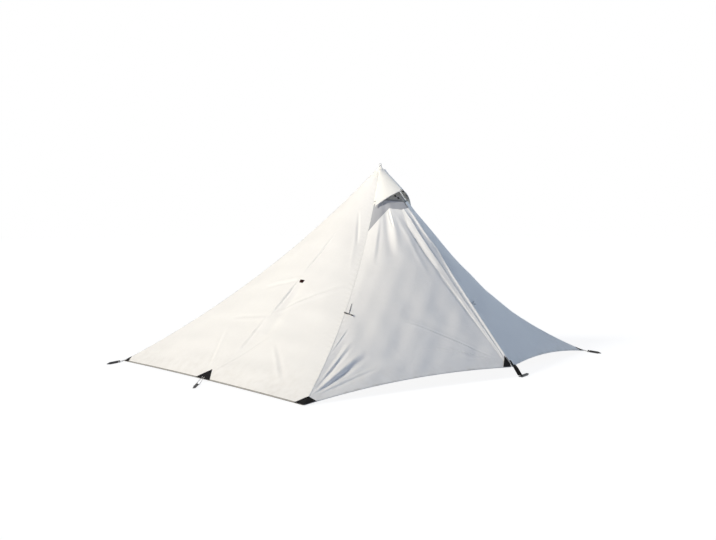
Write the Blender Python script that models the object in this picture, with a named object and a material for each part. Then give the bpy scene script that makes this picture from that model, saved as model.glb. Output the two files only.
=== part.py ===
"""Backpacking tent: one pole, a rectangular fly, a zipped door and a half inner tent.

The long door side faces -Y, +X runs along it, +Z is up, and z = 0 is the ground.
The origin lies on the underside of the tub floor, at the middle of the fly's rectangle.
All sizes are in metres.
"""

import math
from dataclasses import dataclass, field

import bmesh
import bpy
from mathutils import Vector

# Plan and height of the fly
BASE_LENGTH = 2.60
BASE_DEPTH = 1.86
PEAK_HEIGHT = 1.30
POLE_FORWARD = 0.171
DOOR_REACH = 0.253
DOOR_OFFSET = 0.10
DOOR_POINT_HEIGHT = 0.063
HEM_HEIGHT = 0.005

# Cut of the fly
FRONT_RIDGE_SAG = 0.165
REAR_RIDGE_SAG = 0.09
END_HEM_BOW = 0.006
SIDE_HEM_BOW = 0.030
FLY_THICKNESS = 0.0015
PANEL_TOP = 0.962
CAP_TOP = 0.9955
CAP_WALL = 0.0018
CAP_SPANS = 5

# Door and zip
HINGE_SHARE = 0.20
ZIP_TOP = 0.79
ZIP_BOTTOM = 0.012
ZIP_EDGE = 0.006
DOOR_TOP_SHARE = 0.965
STRIP_ROWS = 17
STRIP_COLUMNS = 6
TAPE_WIDTH = 0.018
TAPE_THICKNESS = 0.0012
TEETH_WIDTH = 0.0027
TEETH_HEIGHT = 0.0034
SLIDER_LENGTH = 0.020
SLIDER_WIDTH = 0.013
SLIDER_START = 0.035
PULL_LENGTH = 0.034
FLAP_WIDTH = 0.060
FLAP_OVERLAP = 0.011
FLAP_RISE = 0.017
FLAP_THICKNESS = 0.0012
FLAP_BOTTOM = 0.030

# Vent and hood
VENT_SIDE = 0.855
VENT_MIDDLE = 0.800
MESH_THICKNESS = 0.0010
HOOD_THICKNESS = 0.0012
HOOD_TIP_REACH = 0.053
HOOD_TIP_DROP = 0.171
HOOD_CORNER_X = 0.165
HOOD_CORNER_REACH = 0.126
HOOD_CORNER_DROP = 0.278
HOOD_TOP_HALF = 0.022
HOOD_TOP_DROP = 0.028
HOOD_CROWN = 0.020
HOOD_HALF_SPANS = 6
PROP_WIDTH = 0.010
PROP_THICKNESS = 0.0016
PROP_ALONG = 0.200
PROP_LEAN = 38.0
PROP_KNUCKLE = 0.0022

# Reinforcements, tie-outs and pegs
PATCH_THICKNESS = 0.0010
PATCH_EDGE = 0.0015
CORNER_PATCH = 0.055
NEAR_CORNER_PATCH = 0.078
MID_PATCH_HALF = 0.073
MID_PATCH_RISE = 0.096
DOOR_PATCH_WIDTH = 0.058
DOOR_PATCH_RISE = 0.095
LOOP_RADIUS = 0.0015
LOOP_SPREAD = 0.007
CORNER_LOOP = 0.038
MID_LOOP = 0.130
PEG_LENGTH = 0.115
PEG_FIN = 0.009
PEG_FIN_HALF = 0.0010
PEG_VALLEY_TURN = math.radians(60.0)
PEG_NECK_STEP = 0.0006
PEG_NECK_FIN = 0.0048
PEG_HEAD_LENGTH = 0.011
PEG_NECK_LENGTH = 0.008
STRAP_WIDTH = 0.028
STRAP_THICKNESS = 0.0016
STRAP_REACH = 0.052

# Pull-outs and tie-back
PULLOUT_TOP_WIDTH = 0.040
PULLOUT_FOOT_WIDTH = 0.030
PULLOUT_HEIGHT = 0.026
PULLOUT_THICKNESS = 0.0016
PULLOUT_LOOP = 0.009
PULLOUT_ACROSS = 0.569
PULLOUT_UP = 0.468
TOGGLE_LENGTH = 0.060
TOGGLE_TURN = 0.38
TOGGLE_RADIUS = 0.0045
TIEBACK_HEIGHT = 0.424
TIEBACK_ACROSS = 0.046
TIEBACK_DROP = 0.092

# Inner tent
INNER_END_SPACE = 0.25
INNER_POLE_SPACE = 0.071
INNER_REAR_SPACE = 0.17
INNER_TOP_SPACE = 0.28
INNER_LENGTH = BASE_LENGTH - 2 * INNER_END_SPACE
INNER_FRONT = INNER_POLE_SPACE - POLE_FORWARD
INNER_REAR = BASE_DEPTH / 2 - INNER_REAR_SPACE
TUB_HEIGHT = 0.12
TUB_WALL = 0.0015
TUB_LEAN = 0.012
INNER_PEAK_HEIGHT = PEAK_HEIGHT - INNER_TOP_SPACE
INNER_THICKNESS = 0.0010
INNER_WALL_TOP = 0.985
INNER_DOOR_SIDE = 0.060
INNER_DOOR_SILL = 0.040
INNER_DOOR_MARGIN = 0.060
INNER_DOOR_CORNER = 0.006
INNER_SLIDER_START = 0.020
HOOK_RADIUS = 0.0020
HOOK_TOP = 0.900
ELASTIC_RADIUS = 0.0015
ELASTIC_HEIGHT = 0.035
ELASTIC_REACH = 0.030
RIDGE_ELASTIC_INSET = 1.5

# Pole
SHAFT_WALL = 0.0010
LOWER_SHAFT_RADIUS = 0.0060
LOWER_SHAFT_TOP = 0.50
TIP_RADIUS = 0.0034
TIP_LENGTH = 0.055
MID_SHAFT_BOTTOM = 0.42
MID_SHAFT_TOP = 0.90
UPPER_SHAFT_BOTTOM = 0.84
GRIP_TOP_SPACE = 0.18
GRIP_BOTTOM = PEAK_HEIGHT - GRIP_TOP_SPACE
GRIP_CROWN = 0.0145
GRIP_RADIUS = 0.0150
GRIP_TOP_RADIUS = 0.0070
COLLAR_HEIGHT = 0.036
COLLAR_WALL = 0.0030
LEVER_THICKNESS = 0.0028
LUG_THICKNESS = 0.0050
PIN_RADIUS = 0.0014
KNUCKLE_RADIUS = 0.0040

# Clearances
GAP = 0.0003
SEAM_GAP = 0.0002
LIFT = 0.0011
FLAT_LIFT = 0.0006

UP = Vector((0.0, 0.0, 1.0))
PEAK = Vector((0.0, -POLE_FORWARD, PEAK_HEIGHT))
REAR_LEFT = Vector((-BASE_LENGTH / 2, BASE_DEPTH / 2, HEM_HEIGHT))
REAR_RIGHT = Vector((BASE_LENGTH / 2, BASE_DEPTH / 2, HEM_HEIGHT))
FRONT_LEFT = Vector((-BASE_LENGTH / 2, -BASE_DEPTH / 2, HEM_HEIGHT))
FRONT_RIGHT = Vector((BASE_LENGTH / 2, -BASE_DEPTH / 2, HEM_HEIGHT))
DOOR_POINT = Vector((DOOR_OFFSET, -BASE_DEPTH / 2 - DOOR_REACH, DOOR_POINT_HEIGHT))


def clear_scene():
    """Remove every object that the file opened with."""
    for obj in list(bpy.data.objects):
        bpy.data.objects.remove(obj, do_unlink=True)


def make_material(name, colour, roughness, metallic=0.0):
    """Make a plain Principled finish."""
    material = bpy.data.materials.new(name)
    material.use_nodes = True
    shader = material.node_tree.nodes["Principled BSDF"]
    shader.inputs["Base Color"].default_value = (*colour, 1.0)
    shader.inputs["Roughness"].default_value = roughness
    shader.inputs["Metallic"].default_value = metallic
    return material


def link_object(name, data, material, smooth=True):
    """Put a mesh or curve in the scene under a node's name."""
    obj = bpy.data.objects.new(name, data)
    data.materials.append(material)
    bpy.context.collection.objects.link(obj)
    if smooth and isinstance(data, bpy.types.Mesh):
        data.shade_smooth()
        data.set_sharp_from_angle(angle=math.radians(32.0))
    return obj


def mesh_object(name, bm, material, smooth=True):
    """Turn a bmesh into a closed object whose faces point out."""
    bmesh.ops.remove_doubles(bm, verts=bm.verts, dist=1e-6)
    bmesh.ops.recalc_face_normals(bm, faces=bm.faces)
    if bm.calc_volume(signed=True) < 0.0:
        bmesh.ops.reverse_faces(bm, faces=bm.faces)
    mesh = bpy.data.meshes.new(name)
    bm.to_mesh(mesh)
    bm.free()
    return link_object(name, mesh, material, smooth)


def thick_sheet(name, low, high, faces, material):
    """Close two like layers of points into one sheet with a wall round its edge."""
    bm = bmesh.new()
    low_verts = [bm.verts.new(p) for p in low]
    high_verts = [bm.verts.new(p) for p in high]
    for face in faces:
        bm.faces.new([high_verts[i] for i in face])
        bm.faces.new([low_verts[i] for i in reversed(face)])
    uses = {}
    for face in faces:
        for a, b in zip(face, face[1:] + face[:1]):
            uses[frozenset((a, b))] = uses.get(frozenset((a, b)), 0) + 1
    for face in faces:
        for a, b in zip(face, face[1:] + face[:1]):
            if uses[frozenset((a, b))] == 1:
                bm.faces.new([high_verts[b], high_verts[a], low_verts[a], low_verts[b]])
    return mesh_object(name, bm, material)


def grid_faces(rows, columns):
    """Triangles of a grid of points that is stored row by row."""
    faces = []
    for r in range(rows - 1):
        for c in range(columns - 1):
            k = r * columns + c
            faces.append([k, k + 1, k + columns + 1])
            faces.append([k, k + columns + 1, k + columns])
    return faces


def smooth_route(points, steps):
    """Read a smooth curve through the points, with the same steps in each stretch."""
    pts = [Vector(p) for p in points]
    ends = [pts[0] * 2 - pts[1]] + pts + [pts[-1] * 2 - pts[-2]]
    route = []
    for i in range(1, len(ends) - 2):
        a, b, c, d = ends[i - 1:i + 3]
        for k in range(steps):
            t = k / steps
            route.append(0.5 * (2 * b + (c - a) * t + (2 * a - 5 * b + 4 * c - d) * t * t
                                + (3 * b - a - 3 * c + d) * t ** 3))
    route.append(pts[-1])
    return route


def cord(name, points, radius, material, steps=3):
    """Make a round cord along a smooth route."""
    curve = bpy.data.curves.new(name, "CURVE")
    curve.dimensions = "3D"
    curve.bevel_depth = radius
    curve.bevel_resolution = 2
    curve.use_fill_caps = True
    route = smooth_route(points, steps)
    spline = curve.splines.new("POLY")
    spline.points.add(len(route) - 1)
    for point, place in zip(spline.points, route):
        point.co = (*place, 1.0)
    return link_object(name, curve, material)


def turned(name, profile, centre, material, segments=24):
    """Turn a closed profile of (radius, height) about a vertical axis."""
    bm = bmesh.new()
    rings = []
    for radius, height in profile:
        if radius == 0.0:
            rings.append([bm.verts.new((centre[0], centre[1], height))] * segments)
            continue
        ring = []
        for k in range(segments):
            angle = 2 * math.pi * k / segments
            ring.append(bm.verts.new((centre[0] + radius * math.cos(angle),
                                      centre[1] + radius * math.sin(angle), height)))
        rings.append(ring)
    for first, second in zip(rings, rings[1:] + rings[:1]):
        for k in range(segments):
            corners = [first[k], first[(k + 1) % segments],
                       second[(k + 1) % segments], second[k]]
            unique = list(dict.fromkeys(corners))
            if len(unique) > 2:
                bm.faces.new(unique)
    return mesh_object(name, bm, material)


def prism(name, outline, low, high, material):
    """Extrude a plan outline between two heights."""
    bm = bmesh.new()
    bottom = [bm.verts.new((x, y, low)) for x, y in outline]
    top = [bm.verts.new((x, y, high)) for x, y in outline]
    bm.faces.new(list(reversed(bottom)))
    bm.faces.new(top)
    for k in range(len(outline)):
        n = (k + 1) % len(outline)
        bm.faces.new([bottom[k], bottom[n], top[n], top[k]])
    bmesh.ops.triangulate(bm, faces=[f for f in bm.faces if len(f.verts) > 4])
    return mesh_object(name, bm, material, smooth=False)


def join_solids(base, others):
    """Fuse further solids into the first and drop them."""
    for other in others:
        modifier = base.modifiers.new("fuse", "BOOLEAN")
        modifier.operation = "UNION"
        modifier.object = other
        other.hide_render = True
        other.display_type = "WIRE"
    return base


@dataclass
class Fold:
    """A soft valley (or, with a negative depth, a ridge) across a panel."""

    start: tuple
    end: tuple
    depth: float
    width: float


@dataclass
class Panel:
    """A three-sided panel between two ridges, read by u across and v up to the top."""

    left: Vector
    right: Vector
    top: Vector
    left_sag: float = 0.0
    right_sag: float = 0.0
    hem_bow: float = 0.0
    thickness: float = FLY_THICKNESS
    folds: list = field(default_factory=list)

    def flat(self, u, v):
        """Point on the flat triangle."""
        return self.left + (self.top - self.left) * v + (self.right - self.left) * (u * (1 - v))

    def inward(self, corner):
        """Direction in which a ridge seam sags: square to it, in its upright plane."""
        chord = self.top - corner
        level = Vector((chord.x, chord.y, 0.0))
        return (level.normalized() * chord.z - UP * level.length).normalized()

    def facing(self):
        """Outward direction of the flat triangle."""
        return (self.right - self.left).cross(self.top - self.left).normalized()

    def at(self, u, v):
        """Point on the outer face of the cloth."""
        point = self.flat(u, v)
        rise = 4 * v * (1 - v)
        point += self.inward(self.left) * (self.left_sag * rise * (1 - u) ** 2)
        point += self.inward(self.right) * (self.right_sag * rise * u * u)
        edge = self.right - self.left
        level_in = UP.cross(edge).normalized()
        lift = self.hem_bow * 4 * u * (1 - u) * (1 - v) ** 4
        point += (level_in + UP) * lift
        for crease in self.folds:
            point -= self.facing() * self.fold_depth(crease, u, v)
        return point

    def fold_depth(self, crease, u, v):
        """Depth of one fold at a place, dying away at its ends and at the seams."""
        place = self.flat(u, v)
        start = self.flat(*crease.start)
        run = self.flat(*crease.end) - start
        share = (place - start).dot(run) / run.length_squared
        if share <= 0.0 or share >= 1.0:
            return 0.0
        away = (place - start - run * share).length
        seams = min(1.0, 14 * u * (1 - u))
        return crease.depth * seams * math.sin(math.pi * share) * math.exp(-(away / crease.width) ** 2)

    def normal(self, u, v):
        """Outward direction of the cloth at a place."""
        step = 0.004
        across = self.at(min(1.0, u + step), v) - self.at(max(0.0, u - step), v)
        upward = self.at(u, v + step) - self.at(u, max(0.0, v - step))
        return across.cross(upward).normalized()

    def offset(self, u, v, distance):
        """Point at a distance outside the cloth's outer face."""
        return self.at(u, v) + self.normal(u, v) * distance

    def seam_share(self, distance, v):
        """Share of the panel's width that a distance makes at a height."""
        return distance / ((self.right - self.left).length * (1 - v))

    def rise_share(self, distance):
        """Share of the panel's height that a distance makes up its left ridge."""
        return distance / (self.top - self.left).length

    def solid(self, name, rows, span, columns, material, left_seam, right_seam):
        """Close the cloth between the u values that span gives for each row."""
        outer = []
        inner = []
        for v in rows:
            first, last = span(v)
            for k in range(columns):
                u = first + (last - first) * k / (columns - 1)
                point = self.at(u, v)
                way = -self.normal(u, v)
                if k == 0 and left_seam:
                    way = self.inward(self.left)
                if k == columns - 1 and right_seam:
                    way = self.inward(self.right)
                if v == rows[0]:
                    way = (way - UP * way.dot(UP)).normalized() + UP * 0.2
                outer.append(point)
                inner.append(point + way * self.thickness)
        return thick_sheet(name, inner, outer, grid_faces(len(rows), columns), material)


def spread(first, last, count):
    """Evenly spread values from first to last."""
    return [first + (last - first) * k / (count - 1) for k in range(count)]


def hem_spread(last, count):
    """Evenly spread values from zero, with one more halfway to the first step, near the hem."""
    values = spread(0.0, last, count)
    return [values[0], values[1] / 2] + values[1:]


def fly_panels():
    """The five panels of the fly, each seen from outside with its corners left and right."""
    near_folds = [
        Fold((0.03, 0.06), (0.10, 0.30), 0.010, 0.045),
        Fold((0.07, 0.04), (0.26, 0.23), 0.012, 0.050),
        Fold((0.09, 0.02), (0.46, 0.15), 0.009, 0.045),
        Fold((0.60, 0.78), (0.90, 0.16), 0.012, 0.036),
    ]
    end_folds = [
        Fold((0.585, 0.470), (0.600, 0.230), 0.012, 0.045),
        Fold((0.630, 0.300), (0.545, 0.060), 0.009, 0.045),
    ]
    far_end_folds = [
        Fold((0.415, 0.470), (0.400, 0.230), 0.012, 0.045),
        Fold((0.370, 0.300), (0.455, 0.060), 0.009, 0.045),
    ]
    return {
        "left_end": Panel(REAR_LEFT, FRONT_LEFT, PEAK, REAR_RIDGE_SAG, FRONT_RIDGE_SAG,
                          END_HEM_BOW, folds=end_folds),
        "front_left": Panel(FRONT_LEFT, DOOR_POINT, PEAK, FRONT_RIDGE_SAG, 0.0,
                            SIDE_HEM_BOW, folds=near_folds),
        "front_right": Panel(DOOR_POINT, FRONT_RIGHT, PEAK, 0.0, FRONT_RIDGE_SAG, SIDE_HEM_BOW),
        "right_end": Panel(FRONT_RIGHT, REAR_RIGHT, PEAK, FRONT_RIDGE_SAG, REAR_RIDGE_SAG,
                           END_HEM_BOW, folds=far_end_folds),
        "rear": Panel(REAR_RIGHT, REAR_LEFT, PEAK, REAR_RIDGE_SAG, REAR_RIDGE_SAG, SIDE_HEM_BOW),
    }


def vent_edge(u):
    """Height share of the vent's lower edge, from the ridge (u = 0) to the zip (u = 1)."""
    return VENT_SIDE + (VENT_MIDDLE - VENT_SIDE) * u


def hinge_share(v):
    """Share of the width at which the door flap hangs on the fly."""
    return HINGE_SHARE / (1.0 - v)


def ridge_span(panel):
    """Full width of a panel between two ridges, less half a seam's gap at each."""
    return lambda v: (panel.seam_share(SEAM_GAP, v), 1.0 - panel.seam_share(SEAM_GAP, v))


def build_fly(panels, cloth):
    """The five sewn panels; the front left one stops at the door flap."""
    for key, name, rows, columns in (("left_end", "fly_left_end", 17, 19),
                                     ("right_end", "fly_right_end", 17, 19),
                                     ("rear", "fly_rear", 14, 14)):
        panel = panels[key]
        panel.solid(name, hem_spread(PANEL_TOP, rows), ridge_span(panel), columns, cloth, True, True)
    build_front_right(panels["front_right"], cloth)
    build_front_left(panels["front_left"], cloth)


def front_places(panel, rises, columns, span):
    """Grid of (u, v) over a front panel; each rise is a share of the height up to the vent."""
    from_ridge = panel.left_sag > 0.0
    places = []
    for rise in rises:
        for k in range(columns):
            share = k / (columns - 1)
            v, u = 0.0, share
            for _ in range(9):
                first, last = span(v)
                u = first + (last - first) * share
                reach = vent_edge(u if from_ridge else 1.0 - u) - panel.rise_share(GAP)
                v = reach * rise
            places.append((u, v))
    return places


def front_sheet(panel, name, rises, columns, span, cloth):
    """A front panel between the limits that span gives, with one edge on its ridge."""
    outer = []
    inner = []
    for i, (u, v) in enumerate(front_places(panel, rises, columns, span)):
        way = -panel.normal(u, v)
        if i % columns == 0 and panel.left_sag > 0.0:
            way = panel.inward(panel.left)
        if i % columns == columns - 1 and panel.right_sag > 0.0:
            way = panel.inward(panel.right)
        if i < columns:
            way = (way - UP * way.dot(UP)).normalized() + UP * 0.2
        outer.append(panel.at(u, v))
        inner.append(panel.at(u, v) + way * panel.thickness)
    return thick_sheet(name, inner, outer, grid_faces(len(rises), columns), cloth)


def strip_rises():
    """Rows of the fixed strip: the last but one is level with the door's top."""
    return hem_spread(DOOR_TOP_SHARE, STRIP_ROWS - 1) + [1.0]


def strip_span(panel):
    """Limits of the fixed strip beside the left front ridge: its ridge and the door's hanging line."""
    return lambda v: (panel.seam_share(SEAM_GAP, v),
                      min(1.0 - panel.seam_share(SEAM_GAP, v),
                          hinge_share(v) - panel.seam_share(SEAM_GAP, v)))


def build_front_right(panel, cloth):
    """The fixed front panel, from the zip to the right ridge."""
    front_sheet(panel, "fly_front_right", hem_spread(1.0, 14), 12,
                lambda v: (panel.seam_share(ZIP_EDGE, v), 1.0 - panel.seam_share(SEAM_GAP, v)), cloth)


def build_front_left(panel, cloth):
    """The fixed strip along the left front ridge, which widens to the zip above the door."""
    front_sheet(panel, "fly_front_left", strip_rises(), STRIP_COLUMNS, strip_span(panel), cloth)


def door_rows(panel):
    """Height shares of the door's rows, which are the strip's own along the hanging line."""
    places = front_places(panel, strip_rises(), STRIP_COLUMNS, strip_span(panel))
    along = [v for _, v in places[STRIP_COLUMNS - 1::STRIP_COLUMNS]]
    return along[:-1]


def build_door(panel, cloth):
    """The door flap: a triangle of cloth between the hanging line, the hem and the zip."""
    def span(v):
        """From the hanging line to the zip."""
        return (hinge_share(v) + panel.seam_share(SEAM_GAP, v),
                1.0 - panel.seam_share(ZIP_EDGE, v))

    return panel.solid("fly_door", door_rows(panel), span, 19, cloth, False, False)


def zip_edge_point(panel, side, across, v, distance):
    """Point at a distance across from the zip line, in or under a front panel."""
    share = panel.seam_share(across, v)
    u = 1.0 - share if side < 0 else share
    return panel.at(u, v) - panel.inward(DOOR_POINT) * distance


def build_tape(name, panel, side, material):
    """One zip tape with its row of teeth, sewn under the cloth's edge."""
    below = -panel.thickness - 2 * GAP
    profile = [
        (TAPE_WIDTH, below - TAPE_THICKNESS),
        (TAPE_WIDTH, below),
        (SEAM_GAP + TEETH_WIDTH + 0.0004, below),
        (SEAM_GAP + TEETH_WIDTH, below + TEETH_HEIGHT - TAPE_THICKNESS),
        (SEAM_GAP, below + TEETH_HEIGHT - TAPE_THICKNESS),
        (SEAM_GAP, below - TAPE_THICKNESS),
    ]
    rows = spread(ZIP_BOTTOM, ZIP_TOP - 0.014, 12)
    bm = bmesh.new()
    rings = []
    for v in rows:
        rings.append([bm.verts.new(zip_edge_point(panel, side, across, v, rise))
                      for across, rise in profile])
    count = len(profile)
    for first, second in zip(rings, rings[1:]):
        for k in range(count):
            n = (k + 1) % count
            bm.faces.new([first[k], first[n], second[n], second[k]])
    bm.faces.new(rings[0])
    bm.faces.new(list(reversed(rings[-1])))
    return mesh_object(name, bm, material, smooth=False)


def build_flap(panel, cloth):
    """The storm flap: sewn on the door beside the zip and arched over the teeth."""
    sewn_side = [(1.0, 2 * GAP), (0.80, FLAP_RISE * 0.22), (0.50, FLAP_RISE * 0.70),
                 (0.25, FLAP_RISE * 0.95)]
    free_side = [(0.0, FLAP_RISE), (-FLAP_OVERLAP * 0.6, FLAP_RISE * 0.86),
                 (-FLAP_OVERLAP, FLAP_RISE * 0.62)]
    panel_width = (panel.right - panel.left).length
    side_way = (panel.left - panel.right)
    zip_way = (PEAK - DOOR_POINT).normalized()
    side_way = (side_way - zip_way * side_way.dot(zip_way)).normalized()
    out_way = panel.facing()
    low = []
    high = []
    rows = spread(FLAP_BOTTOM, ZIP_TOP - 0.022, 12)
    for v in rows:
        foot = panel.flat(1.0, v)
        width = min(FLAP_WIDTH, (1.0 - v - HINGE_SHARE) * panel_width * 0.75)
        for across, rise in [(width * share, rise) for share, rise in sewn_side] + free_side:
            sewn = panel.offset(1.0 - panel.seam_share(max(across, 0.0), v), v, 0.0)
            sink = (sewn - foot).dot(out_way) if across > 0 else 0.0
            share = max(0.0, across / width)
            point = foot + side_way * across + out_way * (rise + sink * share)
            low.append(point)
            high.append(point + out_way * FLAP_THICKNESS)
    count = len(sewn_side) + len(free_side)
    return thick_sheet("storm_flap", low, high, grid_faces(len(rows), count), cloth)


def zip_frame(panel):
    """Axes along, across and out of the zip at its foot, with the origin on the zip line."""
    along = (PEAK - DOOR_POINT).normalized()
    out = panel.facing()
    across = out.cross(along).normalized()
    out = along.cross(across).normalized()
    return along, across, out


def outline_solid(name, origin, axes, outline, low, high, material):
    """Extrude an outline drawn in a local frame's first two axes along its third."""
    bm = bmesh.new()
    bottom = [bm.verts.new(origin + axes[0] * x + axes[1] * y + axes[2] * low) for x, y in outline]
    top = [bm.verts.new(origin + axes[0] * x + axes[1] * y + axes[2] * high) for x, y in outline]
    bm.faces.new(list(reversed(bottom)))
    bm.faces.new(top)
    for k in range(len(outline)):
        n = (k + 1) % len(outline)
        bm.faces.new([bottom[k], bottom[n], top[n], top[k]])
    return mesh_object(name, bm, material, smooth=False)


def build_slider(panel, metal):
    """The zip slider: an outer plate over the teeth, with a cord pull hanging on its bridge."""
    along, across, out = zip_frame(panel)
    base = DOOR_POINT + along * (ZIP_BOTTOM * (PEAK - DOOR_POINT).length + SLIDER_START)
    floor = -FLY_THICKNESS - 2 * GAP + TEETH_HEIGHT - TAPE_THICKNESS + GAP
    half = SLIDER_WIDTH / 2
    length = SLIDER_LENGTH
    plate = outline_solid(
        "zip_slider", base, (along, across, out),
        [(0.0, -half * 0.55), (length * 0.35, -half), (length * 0.8, -half), (length, -half * 0.5),
         (length, half * 0.5), (length * 0.8, half), (length * 0.35, half), (0.0, half * 0.55)],
        floor, floor + 0.0022, metal)
    bridge = outline_solid(
        "zip_slider_bridge", base, (along, out, across),
        [(length * 0.2, floor + 0.0018), (length * 0.2, floor + 0.0044),
         (length * 0.35, floor + 0.0056), (length * 0.65, floor + 0.0056),
         (length * 0.8, floor + 0.0044), (length * 0.8, floor + 0.0018)],
        -0.0014, 0.0014, metal)
    pull = outline_solid(
        "zip_slider_pull", base, (along, across, out),
        [(length * 0.30, -0.0030), (length * 0.30, 0.0030), (-PULL_LENGTH + 0.004, 0.0036),
         (-PULL_LENGTH, 0.0018), (-PULL_LENGTH, -0.0018), (-PULL_LENGTH + 0.004, -0.0036)],
        floor + 0.0040, floor + 0.0060, metal)
    return join_solids(plate, [bridge, pull])


def build_cap(panels, cloth):
    """The reinforced cap over the fly's top: a cup with five sides and a sewn loop."""
    order = ["left_end", "front_left", "front_right", "right_end", "rear"]

    def ring(v, inset):
        """Points round the fly at one height share."""
        points = []
        for key in order:
            panel = panels[key]
            points.append(panel.at(0.0, v) + panel.inward(panel.left) * inset)
            for k in range(1, CAP_SPANS):
                u = k / CAP_SPANS
                points.append(panel.at(u, v) - panel.normal(u, v) * inset)
        return points

    levels = spread(PANEL_TOP + panels["rear"].rise_share(3 * GAP), CAP_TOP, 4)
    outer = []
    inner = []
    for v in levels:
        outer += ring(v, 0.0)
        inner += ring(v, CAP_WALL)
    count = len(order) * CAP_SPANS
    faces = []
    for r in range(len(levels) - 1):
        for k in range(count):
            n = (k + 1) % count
            faces.append([r * count + k, r * count + n, (r + 1) * count + n, (r + 1) * count + k])
    last = (len(levels) - 1) * count
    outer.append(PEAK - UP * 0.0035)
    inner.append(PEAK - UP * 0.0100)
    for k in range(count):
        faces.append([last + k, last + (k + 1) % count, len(outer) - 1])
    cap = thick_sheet("peak_cap", inner, outer, faces, cloth)
    loop = outline_solid(
        "peak_cap_loop", PEAK - UP * 0.009, (Vector((1, 0, 0)), UP, Vector((0, 1, 0))),
        [(-0.008, 0.0), (-0.010, 0.010), (-0.008, 0.019), (0.0, 0.022), (0.008, 0.019),
         (0.010, 0.010), (0.008, 0.0)],
        -0.004, 0.004, cloth)
    hole = outline_solid(
        "peak_loop_eye", PEAK - UP * 0.009, (Vector((1, 0, 0)), UP, Vector((0, 1, 0))),
        [(-0.0045, 0.0095), (-0.0065, 0.0130), (-0.0040, 0.0170), (0.0, 0.0190), (0.0040, 0.0170),
         (0.0065, 0.0130), (0.0045, 0.0095)],
        -0.010, 0.010, cloth)
    cap = join_solids(cap, [loop])
    cut = cap.modifiers.new("eye", "BOOLEAN")
    cut.operation = "DIFFERENCE"
    cut.object = hole
    hole.hide_render = True
    hole.display_type = "WIRE"
    return cap


def build_vent_mesh(panels, net):
    """The net under the hood, folded over the zip line between the two front ridges."""
    left, right = panels["front_left"], panels["front_right"]
    rows, half = 5, 5
    outer = []
    inner = []
    for r in range(rows):
        for side, panel in ((-1, left), (1, right)):
            for k in range(half):
                if side > 0 and k == 0:
                    continue
                share = k / (half - 1)
                toward_zip = share if side < 0 else 1.0 - share
                low = vent_edge(toward_zip)
                v = low + (PANEL_TOP - low) * r / (rows - 1)
                edge = panel.seam_share(SEAM_GAP, v)
                u = edge + (1.0 - edge) * share if side < 0 else (1.0 - edge) * share
                way = -panel.normal(u, v)
                if side < 0 and k == 0:
                    way = panel.inward(panel.left)
                if side > 0 and k == half - 1:
                    way = panel.inward(panel.right)
                if side < 0 and k == half - 1:
                    way = panel.inward(panel.right)
                outer.append(panel.at(u, v))
                inner.append(panel.at(u, v) + way * MESH_THICKNESS)
    return thick_sheet("vent_mesh", inner, outer, grid_faces(rows, 2 * half - 1), net)


def zip_out():
    """Outward direction square to the zip line, in the upright plane through it."""
    fall = DOOR_POINT - PEAK
    return Vector((0.0, fall.z, -fall.y)).normalized()


def zip_place(height):
    """Point of the zip line at a height above the ground."""
    return PEAK + (DOOR_POINT - PEAK) * ((PEAK.z - height) / (PEAK.z - DOOR_POINT.z))


def hood_top():
    """Middle of the hood's upper edge, where it is sewn on the cap."""
    return zip_place(PEAK.z - HOOD_TOP_DROP) + zip_out() * (HOOD_THICKNESS + 2 * GAP)


def hood_tip():
    """Front point of the hood's outer face."""
    return zip_place(PEAK.z - HOOD_TIP_DROP) - Vector((0.0, HOOD_TIP_REACH, 0.0))


def hood_back():
    """Direction from the hood's outer face to its inner face, along its middle."""
    fall = hood_tip() - hood_top()
    return Vector((0.0, -fall.z, fall.y)).normalized()


def hood_point(across, down):
    """Point on the hood's outer face; across runs from -1 to 1 and down from 0 to 1."""
    top = hood_top() + Vector((HOOD_TOP_HALF * across, 0.0, 0.0))
    corner = PEAK + Vector((math.copysign(HOOD_CORNER_X, across), -HOOD_CORNER_REACH,
                            -HOOD_CORNER_DROP))
    share = abs(across)
    edge = hood_tip() + (corner - hood_tip()) * share
    crown = HOOD_CROWN * math.sin(math.pi / 2 * down) * share * (1 - share) * 4
    return top + (edge - top) * down - hood_back() * crown


def build_hood(cloth):
    """The vent hood: a peaked flap that stands off the vent on its prop."""
    rows = spread(0.0, 1.0, 7)
    columns = spread(-1.0, 1.0, 2 * HOOD_HALF_SPANS + 1)
    outer = [hood_point(across, down) for down in rows for across in columns]
    inner = [point + hood_back() * HOOD_THICKNESS for point in outer]
    return thick_sheet("vent_hood", inner, outer, grid_faces(len(rows), len(columns)), cloth)


def prop_frame():
    """The prop's hinge, its long way at rest and its reach to the vent's crest."""
    fall = hood_tip() - hood_top()
    hinge = hood_top() + fall.normalized() * PROP_ALONG
    down = PROP_ALONG / fall.length
    beside = hood_point(1 / HOOD_HALF_SPANS, down) - hood_point(0.0, down)
    drop = max(0.0, beside.dot(hood_back()) / beside.x) * PROP_WIDTH * 0.6
    hinge += hood_back() * (HOOD_THICKNESS + 2 * GAP + PROP_KNUCKLE + drop)
    lean = math.radians(PROP_LEAN)
    along = (hood_back() * math.cos(lean) - fall.normalized() * math.sin(lean)).normalized()
    height = (hinge - PEAK).dot(zip_out())
    reach = (height - 2 * GAP - PROP_THICKNESS / 2) / -along.dot(zip_out())
    return hinge, along, reach


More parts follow.
